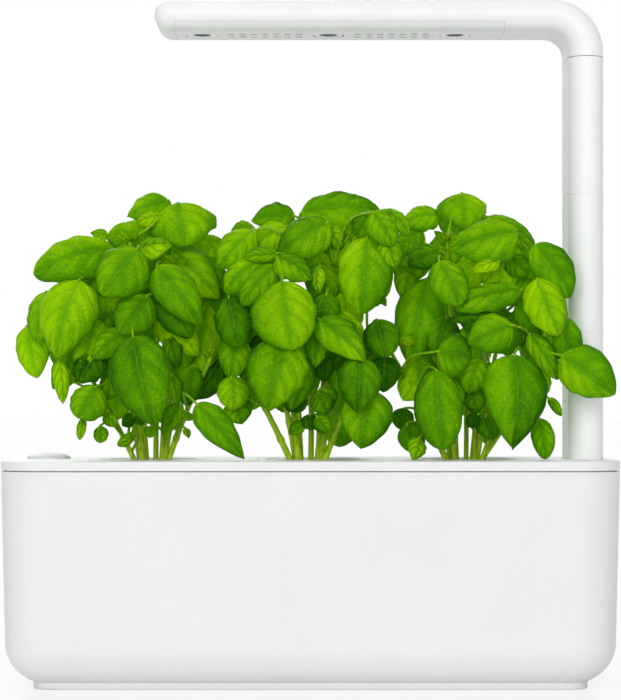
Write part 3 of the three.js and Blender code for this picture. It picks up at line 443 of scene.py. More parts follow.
def make_tank():
    mouth_z = SHOULDER_Z - FIT_GAP
    mouth_inset = TANK_WALL - MOUTH_STEP
    inner_rings = tank_rings(TANK_WALL, mouth_z) + [plan_ring(TANK_WALL, mouth_z)]
    rings = tank_rings(0, RIM_Z)
    rings += [plan_ring(0, RIM_Z), plan_ring(mouth_inset, RIM_Z), plan_ring(mouth_inset, mouth_z)]
    tank = loft("tank_shell", rings + inner_rings[::-1])
    carve(tank, [block(
        "notch", inlet_low.x - NOTCH_GAP, inlet_high.x + NOTCH_GAP, HALF_DEPTH - 2 * TANK_WALL,
        HALF_DEPTH + OVERRUN, inlet_low.z - NOTCH_GAP, RIM_Z + OVERRUN,
    )])
    tidy(tank)
    return soften(tank, 0.15)


def make_foot():
    rings = [plan_ring(FOOT_INSET + FOOT_EDGE_ROUND * out, FOOT_EDGE_ROUND * up)
             for out, up in quarter_turn(6)]
    return soften(loft("foot", rings + [plan_ring(FOOT_INSET, FOOT_HEIGHT)]), 0.2)


dress(make_tank(), "tank", "white_shell", "water_tank")
dress(make_foot(), "tank", "grey_plastic", "foot_plinth")


# Lid
def prism(name, ring, z0, z1):
    return loft(name, [ring(z0), ring(z1)])


def column_prism(name, z0, z1, inset):
    return prism(name, lambda z: column_ring(inset, z), z0, z1)


def plan_prism(name, z0, z1, inset):
    return prism(name, lambda z: plan_ring(inset, z), z0, z1)


def pod_prism(name, x, z0, z1, half):
    return prism(name, lambda z: square_ring(half, POD_CORNER_RADIUS, z, x), z0, z1)


def drum(name, x, z0, z1, radius):
    return prism(name, lambda z: round_ring(radius, z, x), z0, z1)


def make_lid():
    edge = [plan_ring(LID_EDGE_ROUND * inset, LID_TOP - LID_EDGE_ROUND * down)
            for down, inset in quarter_turn(8)]
    lid = loft("lid_shell", [plan_ring(0, SKIRT_Z)] + edge)
    join_z = PLATE_Z + 1
    carve(lid, [plan_prism("hollow", SKIRT_Z - OVERRUN, PLATE_Z, LID_SIDE_WALL)])
    groove_z = RIM_Z - GROOVE_REACH
    carve(lid, [loft("lip", [
        plan_ring(LIP_INSET, SHOULDER_Z), plan_ring(LIP_INSET, groove_z),
        plan_ring(LIP_INSET + GROOVE_DEPTH, groove_z + GROOVE_DEPTH),
        plan_ring(LIP_INSET + GROOVE_DEPTH, join_z), plan_ring(LIP_INSET + LIP_THICKNESS, join_z),
        plan_ring(LIP_INSET + LIP_THICKNESS, SHOULDER_Z),
    ], loop=True)], "UNION")
    well_z = LID_TOP - POD_WELL_DEPTH
    seat_z = LID_TOP - POD_FLANGE_THICKNESS - FIT_GAP
    for x in pod_xs:
        collar = pod_prism("collar", x, well_z, join_z, POD_FLANGE / 2 + POD_LEDGE_WALL)
        carve(lid, [collar], "UNION")
        carve(lid, [
            pod_prism("seat", x, seat_z, LID_TOP + OVERRUN, POD_FLANGE / 2 + FIT_GAP),
            pod_prism("throat", x, well_z - OVERRUN, LID_TOP, POD_MOUTH / 2 + FIT_GAP),
        ])
    boss = column_prism("boss", SOCKET_FLOOR_Z - SOCKET_FLOOR, join_z, -SOCKET_WALL)
    inlet_boss = block("inlet_boss", inlet_low.x, inlet_high.x, inlet_low.y,
                       HALF_DEPTH - LID_SIDE_WALL, inlet_high.z + FIT_GAP, join_z)
    carve(lid, [inlet_boss, boss], "UNION")
    carve(lid, [
        column_prism("pocket", SOCKET_FLOOR_Z, LID_TOP + OVERRUN, -FIT_GAP),
        drum("pin_seat", COLUMN_X, SOCKET_FLOOR_Z - SOCKET_FLOOR - OVERRUN,
             SOCKET_FLOOR_Z + OVERRUN, PIN_RADIUS + FIT_GAP),
        drum("float_hole", float_x, SKIRT_Z - OVERRUN, LID_TOP + OVERRUN, FLOAT_HOLE_RADIUS),
        block("inlet_room", inlet_low.x - NOTCH_GAP, inlet_high.x + NOTCH_GAP,
              inlet_low.y - NOTCH_GAP, HALF_DEPTH, SHOULDER_Z - OVERRUN,
              inlet_high.z + FIT_GAP),
    ])
    tidy(lid)
    return soften(lid, 0.12)


dress(make_lid(), "lid", "white_shell", "lid")


# Float
def lathe(name, x, profile):
    return loft(name, [round_ring(radius, z, x, LATHE_STEPS) for radius, z in profile])


cap_low, cap_high = span("float_cap")
cap_radius = (cap_high.x - cap_low.x) / 2
cap_base = cap_low.z + STUD
cap_profile = [
    (0, cap_low.z), (STUD / 2, cap_low.z), (STUD / 2, cap_base),
    (cap_radius - CAP_CHAMFER, cap_base), (cap_radius, cap_base + CAP_CHAMFER),
]
cap_profile += [(cap_radius * (1 - inset), cap_high.z - CAP_DOME * down)
                for down, inset in quarter_turn(12)]
cap = soften(lathe("float_button", float_x, cap_profile), 0.1)
# The button's look is the white shell with painted shade.
dress(cap, "float", "white_shell", "float_cap", look="white_shell_painted_shade")


# Lamp column
def column_skin(seat_z):
    """Skin of an arm from the top of its pin room, out round its foot and up to its spigot."""
    pin_top = seat_z + SPIGOT_HEIGHT + PIN_LENGTH + FIT_GAP
    bore_top = seat_z + BORE_DEPTH
    top = seat_z + ARM_PITCH
    pin = PIN_RADIUS + FIT_GAP
    edge = SEAM_ROUND
    rings = [round_ring(pin, pin_top, COLUMN_X), round_ring(pin, bore_top, COLUMN_X)]
    rings += [column_ring(COLUMN_WALL, bore_top), column_ring(COLUMN_WALL, seat_z + SEAM_GAP)]
    rings += [column_ring(edge * out, seat_z + SEAM_GAP + edge * up)
              for out, up in quarter_turn(4)]
    rings += [column_ring(edge * inset, top - edge * down) for down, inset in quarter_turn(4)]
    spigot = COLUMN_WALL + FIT_GAP
    rings += [column_ring(spigot, top), column_ring(spigot, top + SPIGOT_HEIGHT)]
    rings += [round_ring(pin, top + SPIGOT_HEIGHT, COLUMN_X),
              round_ring(pin, top - PIN_SEAT - FIT_GAP, COLUMN_X)]
    return rings


for number in (1, 2, 3):
    seat = SOCKET_FLOOR_Z + (number - 1) * ARM_PITCH
    arm = soften(loft(f"arm_{number}", column_skin(seat)), 0.08)
    # The arm's look is the white shell with painted light.
    dress(arm, f"arm_{number}", "white_shell", f"extension_arm_{number}", look="white_shell_painted_light")


# Lamp head
SECTION_STEPS = 24
BEND_STEPS = 28
END_STEPS = 16
PARTING_GAP = 0.1
END_SHARE = 0.97
LENS_ROUND = 0.5
# Share of the window's radius, and the dished face's height above its lowest point
WINDOW_FACE = ((0, 0.12), (0.6, 0.1), (0.93, 0.04), (1, 0.2))
bar_bottom = cover_low.z
bar_z = bar_bottom + BAR_THICKNESS / 2
bend_x = COLUMN_X - COLUMN_WIDTH / 2 - BEND_INNER_RADIUS
bend_z = bar_bottom - BEND_INNER_RADIUS
head_seat = SOCKET_FLOOR_Z + 3 * ARM_PITCH
parting_z = bar_bottom + COVER_HEIGHT


def section_ring(centre, out, half_thickness, half_width):
    """A flat tube's section: two half rounds joined by straight sides."""
    ring = []
    for side in (1, -1):
        for step in range(SECTION_STEPS + 1):
            angle = side * math.pi / 2 - math.pi * step / SECTION_STEPS
            across = side * (half_width - half_thickness) + half_thickness * math.cos(angle)
            up = half_thickness * math.sin(angle)
            ring.append(centre + out * up + Vector((0, across, 0)))
    return ring


def head_rings(inset):
    bar_half = BAR_THICKNESS / 2 - inset
    half_width = COLUMN_DEPTH / 2 - inset
    end_x = head_low.x + BAR_THICKNESS / 2
    rings = []
    for step in range(END_STEPS + 1):
        lean = (1 - step / END_STEPS) * math.pi / 2 * END_SHARE
        half = bar_half * math.cos(lean)
        centre = Vector((end_x - bar_half * math.sin(lean), 0, bar_z))
        rings.append(section_ring(centre, Vector((0, 0, 1)), half, half_width - bar_half + half))
    for step in range(BEND_STEPS + 1):
        share = step / BEND_STEPS
        angle = math.pi / 2 * (1 - share)
        thickness = BAR_THICKNESS + (COLUMN_WIDTH - BAR_THICKNESS) * share
        out = Vector((math.cos(angle), 0, math.sin(angle)))
        centre = Vector((bend_x, 0, bend_z)) + out * (BEND_INNER_RADIUS + thickness / 2)
        rings.append(section_ring(centre, out, thickness / 2 - inset, half_width))
    foot_point = Vector((COLUMN_X, 0, head_seat + FIT_GAP))
    rings.append(section_ring(foot_point, Vector((1, 0, 0)), COLUMN_WIDTH / 2 - inset, half_width))
    return rings


def cover_block(gap):
    return block("cover_room", cover_low.x - gap, cover_high.x + gap, -COLUMN_DEPTH,
                 COLUMN_DEPTH, bar_bottom - OVERRUN, parting_z + gap)


def bar_hollow(wall, top):
    """The room inside the bar along the cover, up to a height."""
    room = block("room", cover_low.x + COVER_WALL, cover_high.x - COVER_WALL,
                 -COLUMN_DEPTH, COLUMN_DEPTH, bar_bottom, top)
    return carve(loft("hollow", head_rings(wall)), [room], "INTERSECT")


def make_head():
    head = loft("lamp_head", head_rings(0))
    carve(head, [
        cover_block(PARTING_GAP),
        column_prism("bore", head_seat - OVERRUN, head_seat + BORE_DEPTH, COLUMN_WALL),
        drum("pin_room", COLUMN_X, head_seat,
             head_seat + SPIGOT_HEIGHT + PIN_LENGTH + FIT_GAP, PIN_RADIUS + FIT_GAP),
    ])
    carve(head, [bar_hollow(COLUMN_WALL, head_high.z)])
    tidy(head)
    return soften(head, 0.25)


def make_cover():
    cover = loft("lamp_underside", head_rings(0))
    carve(cover, [cover_block(0)], "INTERSECT")
    carve(cover, [bar_hollow(COVER_WALL, parting_z + OVERRUN)])
    cutters = [drum("hole", x, bar_bottom - OVERRUN, parting_z, LENS_RADIUS + FIT_GAP)
               for x in led_xs]
    for left, right in zip(led_xs, led_xs[1:]):
        for column in range(VENT_COLUMNS):
            x = (left + right) / 2 + (column - (VENT_COLUMNS - 1) / 2) * VENT_PITCH
            for row in (-1, 1):
                y = row * VENT_ROW_SPACING / 2
                cutters.append(block("vent", x - VENT_LENGTH / 2, x + VENT_LENGTH / 2,
                                     y - VENT_WIDTH / 2, y + VENT_WIDTH / 2,
                                     bar_bottom - OVERRUN, parting_z))
    carve(cover, cutters)
    tidy(cover)
    return soften(cover, 0.15)


# The head and its underside take the white shell with painted light.
dress(make_head(), "lamp_head", "white_shell", "lamp_housing", look="white_shell_painted_light")
underside = dress(make_cover(), "lamp_head", "white_shell", "lamp_cover", look="white_shell_painted_light")
# The side walls of the vent slots are painted black: painted shade inside the slots of the white
# cover.
underside.data.materials.append(looks["black_plastic"])
for polygon in underside.data.polygons:
    x, y, z = polygon.center / MM
    in_vents = led_xs[0] + LENS_RADIUS + 1 < x < led_xs[-1] - LENS_RADIUS - 1
    in_vents = in_vents and abs(y) < VENT_ROW_SPACING / 2 + VENT_WIDTH
    if in_vents and abs(polygon.normal.z) < 0.5 and z < bar_bottom + COVER_WALL:
        polygon.material_index = 1


def make_lens_ring(name, x):
    inner = WINDOW_RADIUS + FIT_GAP
    corner = LENS_ROUND * 0.3
    profile = (
        (LENS_RADIUS, LENS_THICKNESS), (LENS_RADIUS, LENS_ROUND), (LENS_RADIUS - corner, corner),
        (LENS_RADIUS - LENS_ROUND, 0), (inner + LENS_ROUND * 2, 0), (inner + LENS_ROUND, corner),
        (inner, LENS_ROUND), (inner, LENS_THICKNESS),
    )
    rings = [round_ring(radius, bar_bottom + up, x) for radius, up in profile]
    return soften(loft(name, rings, loop=True), 0.1)


def make_window(name, x, low, high):
    profile = [(WINDOW_RADIUS * share, low + up) for share, up in WINDOW_FACE]
    profile += [(WINDOW_RADIUS, high), (0, high)]
    return soften(lathe(name, x, profile), 0.08)


for number, x in enumerate(led_xs, 1):
    ring = make_lens_ring(f"lens_ring_{number}", x)
    dress(ring, "lamp_head", "lens", f"led_lens_{number}")
    low, high = span(f"led_window_{number}")
    window = make_window(f"window_{number}", x, low.z, high.z)
    dress(window, "lamp_head", "black_window", f"led_window_{number}")


# Pods
CUP_RIM = ((0, 0.6), (0.2, 0.2), (0.6, 0))
COVER_CHAMFER = 0.3
HOLE_CHAMFER = 0.4
SPONGE_LEVELS = 24
SPONGE_GAP = 0.5
SPONGE_GRAIN = 0.45
SPONGE_ROUGHNESS = 0.45
pod_floor_z = LID_TOP - POD_DEPTH + POD_WALL


def pod_width(z):
    return POD_FOOT + (POD_MOUTH - POD_FOOT) * (z - (LID_TOP - POD_DEPTH)) / POD_DEPTH


def pod_ring(x, z, inset):
    radius = POD_CORNER_RADIUS * pod_width(z) / POD_MOUTH
    return square_ring(pod_width(z) / 2 - inset, radius - inset, z, x)


def make_cup(name, x):
    foot_z = LID_TOP - POD_DEPTH
    flange_z = LID_TOP - POD_FLANGE_THICKNESS
    half = POD_FLANGE / 2
    rings = [
        round_ring(POD_WATER_HOLE / 2, pod_floor_z, x), round_ring(POD_WATER_HOLE / 2, foot_z, x),
        pod_ring(x, foot_z, 0), pod_ring(x, flange_z, 0),
        square_ring(half, POD_CORNER_RADIUS, flange_z, x),
    ]
    rings += [square_ring(half - inset, POD_CORNER_RADIUS - inset, LID_TOP - down, x)
              for inset, down in CUP_RIM]
    rings += [pod_ring(x, LID_TOP, POD_WALL), pod_ring(x, pod_floor_z, POD_WALL)]
    return soften(loft(name, rings, loop=True), 0.25)


def make_pod_cover(name, x, foot, top):
    half = pod_width(foot) / 2 - POD_WALL - FIT_GAP
    radius = POD_CORNER_RADIUS - POD_WALL - FIT_GAP
    rim = STEM_HOLE / 2
    return soften(loft(name, [
        square_ring(half, radius, foot, x),
        square_ring(half, radius, top - COVER_CHAMFER, x),
        square_ring(half - COVER_CHAMFER, radius - COVER_CHAMFER, top, x),
        round_ring(rim + HOLE_CHAMFER, top, x),
        round_ring(rim, top - HOLE_CHAMFER, x),
        round_ring(rim, foot, x),
    ], loop=True), 0.1)


def make_sponge_plug(name, x):
    rings = []
    foot = pod_floor_z + FIT_GAP
    for level in range(SPONGE_LEVELS + 1):
        z = foot + (SPONGE_TOP - foot) * level / SPONGE_LEVELS
        ring = pod_ring(x, z, POD_WALL + FIT_GAP + SPONGE_GAP)
        for point in ring:
            rough = noise.noise(point * SPONGE_GRAIN) * SPONGE_ROUGHNESS
            point.x += rough * (1 if point.x > x else -1)
            point.y += rough * (1 if point.y > 0 else -1)
        rings.append(ring)
    return soften(loft(name, rings), 0.6)


for number, x in enumerate(pod_xs, 1):
    body = f"pod_{number}"
    dress(make_cup(f"cup_{number}", x), body, "pale_insert", f"pod_cup_{number}")
    low, high = span(f"pod_cover_{number}")
    cover = make_pod_cover(f"cover_{number}", x, low.z, high.z)
    dress(cover, body, "pale_insert", f"pod_cover_{number}")
    plug = make_sponge_plug(f"sponge_plug_{number}", x)
    dress(plug, body, "sponge", f"grow_sponge_{number}")


# Carried-over and refined CAD nodes
def refined(node, name, width, body, slot):
    """A softened copy of a CAD node."""
    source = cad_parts[node]
    obj = bpy.data.objects.new(name, source.data.copy())
    bpy.context.scene.collection.objects.link(obj)
    tidy(obj)
    soften(obj, width)
    dress(obj, body, slot, node)


refined("dc_inlet", "power_jack", 0.35, "lid", "black_plastic")
refined("electronics_tray", "timer_tray", 0.3, "lid", "grey_plastic")
refined("timer_board", "timer_circuit", 0.1, "lid", "circuit_board")
refined("float_guide", "guide_tube", 0.2, "lid", "grey_plastic")
refined("float_buoy", "buoy", 0.8, "float", "foam")
refined("lamp_socket", "spigot", 0.3, "lid", "white_shell")
refined("heat_sink", "heat_spreader", 0.15, "lamp_head", "aluminium")
refined("led_board", "led_circuit", 0.1, "lamp_head", "circuit_board")
refined("contact_pin_base", "pin_base", 0.3, "lid", "brass")
for number in (1, 2, 3):
    refined(f"contact_pin_{number}", f"pin_{number}", 0.3, f"arm_{number}", "brass")

# The tone is partly the leaf's own colour and partly painted light and shade, brighter for leaves
# in the light or lit from behind and darker for leaves in shade.
# Basil
# Lengths in the tables are hundredths of LEAF, and places count from the pod's middle and the
# lid's top. A leaf row is base x, base z, tip x, tip z, width, depth towards the front, lean of
# the tip towards the front, turn about the midrib in degrees, and tone, -100 dark to 100 bright.
# Stalks and the twig give x, z and depth.
LEAF = 49.5
STALK_TOPS = (
    (-80, 115, 35), (-50, 185, 15), (-20, 220, 45), (5, 225, -10), (25, 195, 40), (45, 175, 10),
    (62, 105, 40), (-30, 160, -50), (30, 150, -50),
)
LEAVES_1 = (
    (17, 264, -25, 247, 34, 10, 10, 20, 20), (27, 260, 36, 216, 64, 35, 25, 0, 20),
    (10, 226, -46, 228, 44, 20, 5, 30, 0), (-10, 212, 23, 216, 28, 70, 5, -35, 0),
    (-36, 212, -117, 188, 52, 45, 10, 25, 0), (-10, 210, -44, 164, 52, 90, 15, 5, 10),
    (23, 212, 70, 163, 46, 25, 10, -10, 20), (9, 193, 54, 133, 42, 85, 10, -5, 0),
    (-70, 180, -91, 102, 58, 70, 15, 5, 60), (-106, 170, -116, 119, 32, 30, 10, 15, 50),
    (-128, 136, -118, 83, 34, 10, 10, 10, 70), (-55, 142, -68, 82, 46, 40, 10, 10, 10),
    (0, 164, -26, 126, 42, 85, 15, 0, 0), (4, 166, 44, 124, 33, 70, 10, -20, -80),
    (-13, 123, 9, 35, 53, 110, 10, 0, -25), (-50, 110, -72, 79, 36, 50, 10, 20, -70),
    (-77, 78, -98, 92, 24, 40, 5, 0, 0), (-52, 74, -70, 42, 35, 65, 10, 5, 0),
    (-22, 128, -56, 102, 30, 60, 5, 15, -20), (-42, 150, -54, 106, 26, 35, 5, 25, -40),
    (69, 158, 53, 83, 46, 20, 10, -5, 10), (83, 104, 54, 62, 36, 15, 5, -15, -60),
    (30, 56, 14, 24, 20, 50, 5, 0, -20), (-40, 86, -42, 60, 20, 45, 5, 0, 0),
    (20, 124, 30, 93, 22, 50, 5, 0, -20),
)
LEAVES_2 = (
    (-8, 250, 78, 250, 50, 20, 5, -30, 10), (-14, 248, -58, 244, 36, 10, 5, 20, 0),
    (-58, 230, -92, 193, 36, 60, 10, 10, 10), (-22, 236, -57, 210, 34, 35, 5, 25, 70),
    (20, 238, -30, 205, 46, 60, 10, 20, 10), (58, 221, 52, 145, 54, 95, 15, 5, 20),
    (60, 228, 44, 214, 22, 75, 5, 0, 20), (70, 230, 72, 208, 22, 70, 5, 0, 30),
    (-30, 195, -67, 155, 30, 75, 10, 10, 20), (-48, 200, -84, 168, 32, 70, 5, 20, 10),
    (-30, 206, -64, 202, 16, 75, 5, 0, 20), (-32, 202, 3, 180, 30, 80, 10, -30, 0),
    (-26, 177, -16, 110, 64, 110, 15, 0, 10), (-80, 163, -69, 113, 38, 75, 10, 5, -60),
    (18, 166, 14, 130, 30, 80, 5, 0, -70), (10, 140, 57, 98, 38, 95, 10, -15, 0),
    (19, 152, 58, 120, 22, 65, 5, -30, 80), (10, 128, 6, 92, 24, 70, 5, 0, -20),
    (-24, 120, -40, 50, 60, 100, 15, 5, -10), (-6, 106, -16, 50, 34, 70, 10, -20, -20),
    (14, 106, 16, 78, 24, 45, 5, 0, -80), (50, 102, 48, 48, 41, 95, 10, 0, -50),
    (62, 70, 52, 12, 50, 75, 10, 5, 10), (68, 140, 78, 102, 34, 75, 5, 0, -60),
    (10, 68, 18, 46, 24, 55, 5, 0, -10), (-80, 84, -78, 50, 32, 60, 5, 0, 10),
    (-78, 60, -70, 36, 30, 40, 5, 0, -20), (8, 44, 20, 28, 20, 60, 5, 0, 0),
)
LEAVES_3 = (
    (-25, 250, -62, 242, 28, 10, 5, 25, 50), (-4, 270, -2, 234, 50, 30, 10, 0, 30),
    (48, 229, -22, 210, 48, 80, 10, 20, 10), (22, 247, 74, 213, 26, 15, 5, -35, 20),
    (-40, 184, -58, 95, 50, 25, 10, 5, 10), (-56, 200, -62, 160, 26, 15, 5, 0, 0),
    (-26, 210, -60, 198, 26, 45, 5, 20, -10), (-30, 198, -10, 154, 38, 85, 10, -10, 10),
    (54, 170, -16, 153, 34, 70, 5, 30, 20), (42, 204, 62, 186, 24, 45, 5, -10, 0),
    (42, 134, -2, 116, 42, 95, 10, 15, 0), (28, 150, -22, 138, 20, 65, 5, 35, -80),
    (-32, 108, 2, 102, 42, 85, 5, -10, 0), (-40, 104, -64, 60, 42, 30, 10, 10, 50),
    (-33, 90, -26, 11, 44, 85, 10, 0, -25), (12, 102, 0, 67, 32, 65, 5, 5, 0),
    (44, 105, 42, 12, 60, 100, 15, -5, -30), (-64, 52, -68, 30, 24, 15, 5, 0, -70),
    (-60, 36, -46, 3, 26, 30, 5, 0, -30), (18, 44, 26, 20, 24, 50, 5, 0, -70),
)
SIDE_LEAVES = (
    (66, 215, 101, 162, 36, 80, 5, -10, 0), (66, 180, 88, 124, 40, 95, 10, 0, 70),
    (94, 142, 99, 91, 30, 78, 5, 0, 0), (90, 104, 142, 66, 48, 100, 10, 0, 10),
    (60, 126, 88, 80, 24, 80, 5, 0, -10), (70, 42, 77, 1, 24, 70, 5, 0, 0),
)
SIDE_TWIG = (
    (18, 0, 10), (50, 55, 55), (68, 100, 72), (78, 150, 78), (70, 190, 74),
)
# Small leaves: base x, base z, tip x, tip z, width, depth, tone
SMALL_1 = (
    (10, 247, -15, 239, 20, 30, 90), (-44, 227, -62, 230, 12, 20, 30),
    (-90, 100, -86, 56, 16, 55, 90), (-66, 42, -70, 20, 10, 50, 20),
    (-50, 34, -49, 17, 16, 50, 0), (-46, 46, -32, 33, 14, 45, 0),
    (-16, 44, -28, 34, 14, 40, -80), (-12, 46, -8, 34, 14, 40, -80),
    (-16, 26, -32, 14, 12, 45, 0), (22, 86, 29, 54, 14, 50, 0), (2, 34, 0, 22, 14, 50, 0),
    (34, 44, 46, 42, 8, 60, 0), (36, 32, 40, 22, 8, 60, 0),
)
SMALL_2 = (
    (-58, 238, -79, 232, 16, 10, 10), (22, 234, 34, 210, 20, 50, 20),
    (10, 192, 10, 166, 16, 70, 30), (-44, 126, -58, 100, 20, 40, -80),
    (-2, 62, -20, 50, 18, 50, -80), (2, 46, 2, 30, 17, 50, -80), (-4, 36, -20, 26, 14, 50, 0),
    (68, 166, 78, 154, 12, 60, 0), (50, 230, 46, 212, 16, 80, 30),
    (62, 240, 58, 220, 16, 65, 10), (76, 238, 82, 218, 18, 60, 40),
    (66, 216, 78, 200, 16, 80, 20),
)
SMALL_3 = (
    (44, 232, 74, 206, 16, 30, 0), (78, 62, 90, 44, 10, 90, 0), (30, 198, 0, 186, 16, 85, 90),
    (50, 158, 74, 124, 30, 60, 0), (-64, 22, -70, 0, 20, 70, 10), (-12, 78, -10, 52, 14, 60, 0),
    (12, 46, 0, 34, 16, 50, -80), (4, 70, 10, 50, 20, 50, 0),
)
# The low leaf of plant 1, which hangs in front of the leaves of plant 2
FRONT_1 = (
    (50, 56, 97, 2, 32, 113, 4, -10, -10),
)
# Leaves deeper inside the plants, laid out as the large ones but without the lean
INNER_1 = (
    (-55, 180, -40, 140, 36, 15, 0, 100), (-30, 200, -70, 170, 40, 25, 15, 30),
    (2, 225, 5, 185, 40, 20, -10, 10), (0, 175, -5, 130, 42, 30, 10, -40),
    (30, 175, 30, 125, 40, 35, 0, -30), (-35, 145, -42, 100, 40, 30, 5, 0),
    (-85, 145, -95, 105, 34, 20, 10, 40), (32, 125, 22, 80, 36, 35, 0, -20),
    (42, 95, 36, 55, 30, 40, 0, -10), (-30, 100, -42, 62, 32, 35, 10, 30),
    (60, 195, 66, 150, 36, 10, 0, -30), (-62, 208, -95, 178, 36, 20, 20, 30),
    (-70, 110, -100, 72, 34, 30, 10, 10), (50, 130, 62, 80, 40, 0, 0, 20),
    (10, 150, 50, 105, 34, 40, -10, 70), (-5, 95, -10, 50, 30, 20, 0, 40),
    (50, 230, 70, 195, 34, -10, -20, 30), (-60, 195, -78, 150, 36, 20, 10, 90),
    (50, 205, 72, 165, 34, 10, 0, 0),
)
INNER_2 = (
    (24, 216, -2, 196, 28, 30, 20, 100), (-10, 225, -25, 185, 40, 30, 10, 0),
    (35, 235, 30, 195, 38, 35, 0, 10), (10, 198, 16, 155, 36, 45, 0, 20),
    (35, 170, 42, 125, 38, 40, -5, 70), (-50, 170, -45, 125, 40, 40, 0, -50),
    (-60, 120, -62, 80, 36, 40, 0, -30), (15, 130, 30, 90, 36, 35, 0, -70),
    (78, 104, 76, 68, 32, 60, 0, -80), (45, 115, 66, 85, 30, 30, 0, -60),
    (-10, 78, -20, 48, 26, 50, 0, -70), (12, 72, 22, 50, 24, 50, 0, 0),
    (66, 195, 70, 155, 30, 30, 0, 20), (-45, 230, -40, 195, 34, 20, 0, 50),
    (62, 246, 46, 220, 30, 80, 20, 0), (64, 245, 84, 212, 30, 100, -15, -10),
    (74, 248, 100, 224, 26, 90, -35, 10), (76, 220, 86, 190, 26, 95, -10, 30),
    (35, 110, 40, 62, 36, 20, 0, 50), (-65, 150, -72, 100, 34, 10, 0, 20),
    (-74, 124, -80, 80, 34, 55, 0, 10), (-58, 200, -80, 160, 34, 40, 5, 20),
    (-62, 222, -86, 195, 30, 30, 15, -10), (40, 195, 66, 160, 34, 25, -10, 80),
    (2, 170, 5, 125, 36, 20, 0, 90), (-50, 95, -62, 50, 34, 10, 0, 20),
)
INNER_3 = (
    (-45, 235, -70, 210, 28, 10, 20, 20), (-62, 212, -70, 184, 26, 10, 10, 30),
    (-15, 230, -30, 195, 34, 30, 10, 30), (10, 210, 5, 172, 36, 30, 0, 80),
    (35, 205, 30, 165, 34, 35, 0, 90), (15, 165, 10, 125, 38, 35, 0, -20),
    (45, 145, 40, 105, 36, 35, 0, 10), (-20, 145, -30, 105, 36, 35, 0, -40),
    (62, 155, 60, 115, 34, 30, 0, 50), (60, 190, 75, 150, 36, 25, -10, 20),
    (-50, 105, -45, 70, 34, 35, 0, 10), (10, 72, 12, 42, 28, 40, 0, -20),
    (50, 222, 70, 184, 32, 30, 0, 30), (20, 152, 46, 122, 32, 30, 0, -30),
    (66, 130, 86, 85, 34, 30, 0, 30), (-35, 130, -55, 90, 34, 10, 0, 40),
    (-10, 100, -15, 62, 30, 40, 0, 0), (72, 95, 70, 60, 30, 40, 0, 90),
)
# Lean of the inner and the small leaves, in hundredths of LEAF
INNER_LEAN = 5
LeafRow = namedtuple("LeafRow", "base_x base_z tip_x tip_z width depth lean turn tone")
# What a plant's leaves keep between: left and right at y 0, and how far each moves with y
Fence = namedtuple("Fence", "left left_slope right right_slope")
PLANTS = (
    (LEAVES_1, INNER_1, SMALL_1, FRONT_1, Fence(-79.0, 0.0, 38.9, 0.25)),
    (LEAVES_2, INNER_2, SMALL_2, (), Fence(-38.9, 0.25, 38.9, -0.25)),
    (LEAVES_3, INNER_3, SMALL_3, (), Fence(-38.9, -0.25, 49.9, 0.0)),
)
LEAF_BOW = 0.14
LEAF_FULLNESS = 1.06
LEAF_SKIN = 0.3
BIG_LEAF = 0.3
MIDRIB_WIDTH = 0.1
DROOP_START = 0.7
VEIN_PAIRS = 4.0
SMALL_VEIN_PAIRS = 3.4
VEIN_SWEEP = 0.5
VEIN_ARCH = 1.5
REAR_WIDTH = 0.33
REAR_SPREAD = 0.72
REAR_HEIGHT = 0.96
STALK_STEPS = 28
PETIOLE_STEPS = 12
TWIG_STEPS = 32
LEAF_SPAN = (26, 18)
SMALL_LEAF_SPAN = (12, 10)
# How far below its leaf a petiole leaves the stalk, for high and low leaves
PETIOLE_DROPS = (0.14, 0.3)
HIGH_LEAF = 0.9
# Material slots of a plant
BLADE = 0
STALK = 1


class Foliage:
    """Leaves, petioles and stalks gathered into one mesh."""

    def __init__(self, x):
        self.origin = Vector((x, 0, LID_TOP))
        self.points = []
        self.faces = []
        self.coords = []
        self.tones = []
        self.kinds = []

    def add(self, points, faces, coords, tones, kind):
        start = len(self.points)
        self.points += [(self.origin + point) * MM for point in points]
        self.coords += coords
        self.tones += tones
        self.faces += [[start + index for index in face] for face in faces]
        self.kinds += [kind] * len(faces)

    def tube(self, path, radii, sides, tones, ribs=0.0):
        points = []
        faces = []
        count = len(path)
        side = Vector((0, 1, 0))
        for step, centre in enumerate(path):
            along = (path[min(step + 1, count - 1)] - path[max(step - 1, 0)]).normalized()
            side = (side - along * side.dot(along)).normalized()
            other = along.cross(side)
            for k in range(sides):
                angle = 2 * math.pi * k / sides
                reach = radii[step] * (1 + ribs * math.cos(4 * angle))
                points.append(centre + side * reach * math.cos(angle)
                              + other * reach * math.sin(angle))
        for low in range(0, (count - 1) * sides, sides):
            for k in range(sides):
                j = (k + 1) % sides
                faces.append([low + k, low + j, low + sides + j, low + sides + k])
        faces.append(list(reversed(range(sides))))
        faces.append([(count - 1) * sides + k for k in range(sides)])
        tones = [tone for tone in tones for _ in range(sides)]
        self.add(points, faces, [(0.5, 0.5)] * len(points), tones, STALK)

    def build(self, name):
        data = bpy.data.meshes.new(name)
        data.from_pydata(self.points, [], self.faces)
        layer = data.uv_layers.new(name="blade")
        tone = data.attributes.new("tone", "FLOAT", "POINT")
        tone.data.foreach_set("value", self.tones)
        loops = [0] * len(data.loops)
        data.loops.foreach_get("vertex_index", loops)
        layer.data.foreach_set("uv", [value for index in loops for value in self.coords[index]])
        data.polygons.foreach_set("use_smooth", [True] * len(data.polygons))
        data.polygons.foreach_set("material_index", self.kinds)
        data.update()
        obj = bpy.data.objects.new(name, data)
        bpy.context.scene.collection.objects.link(obj)
        return obj


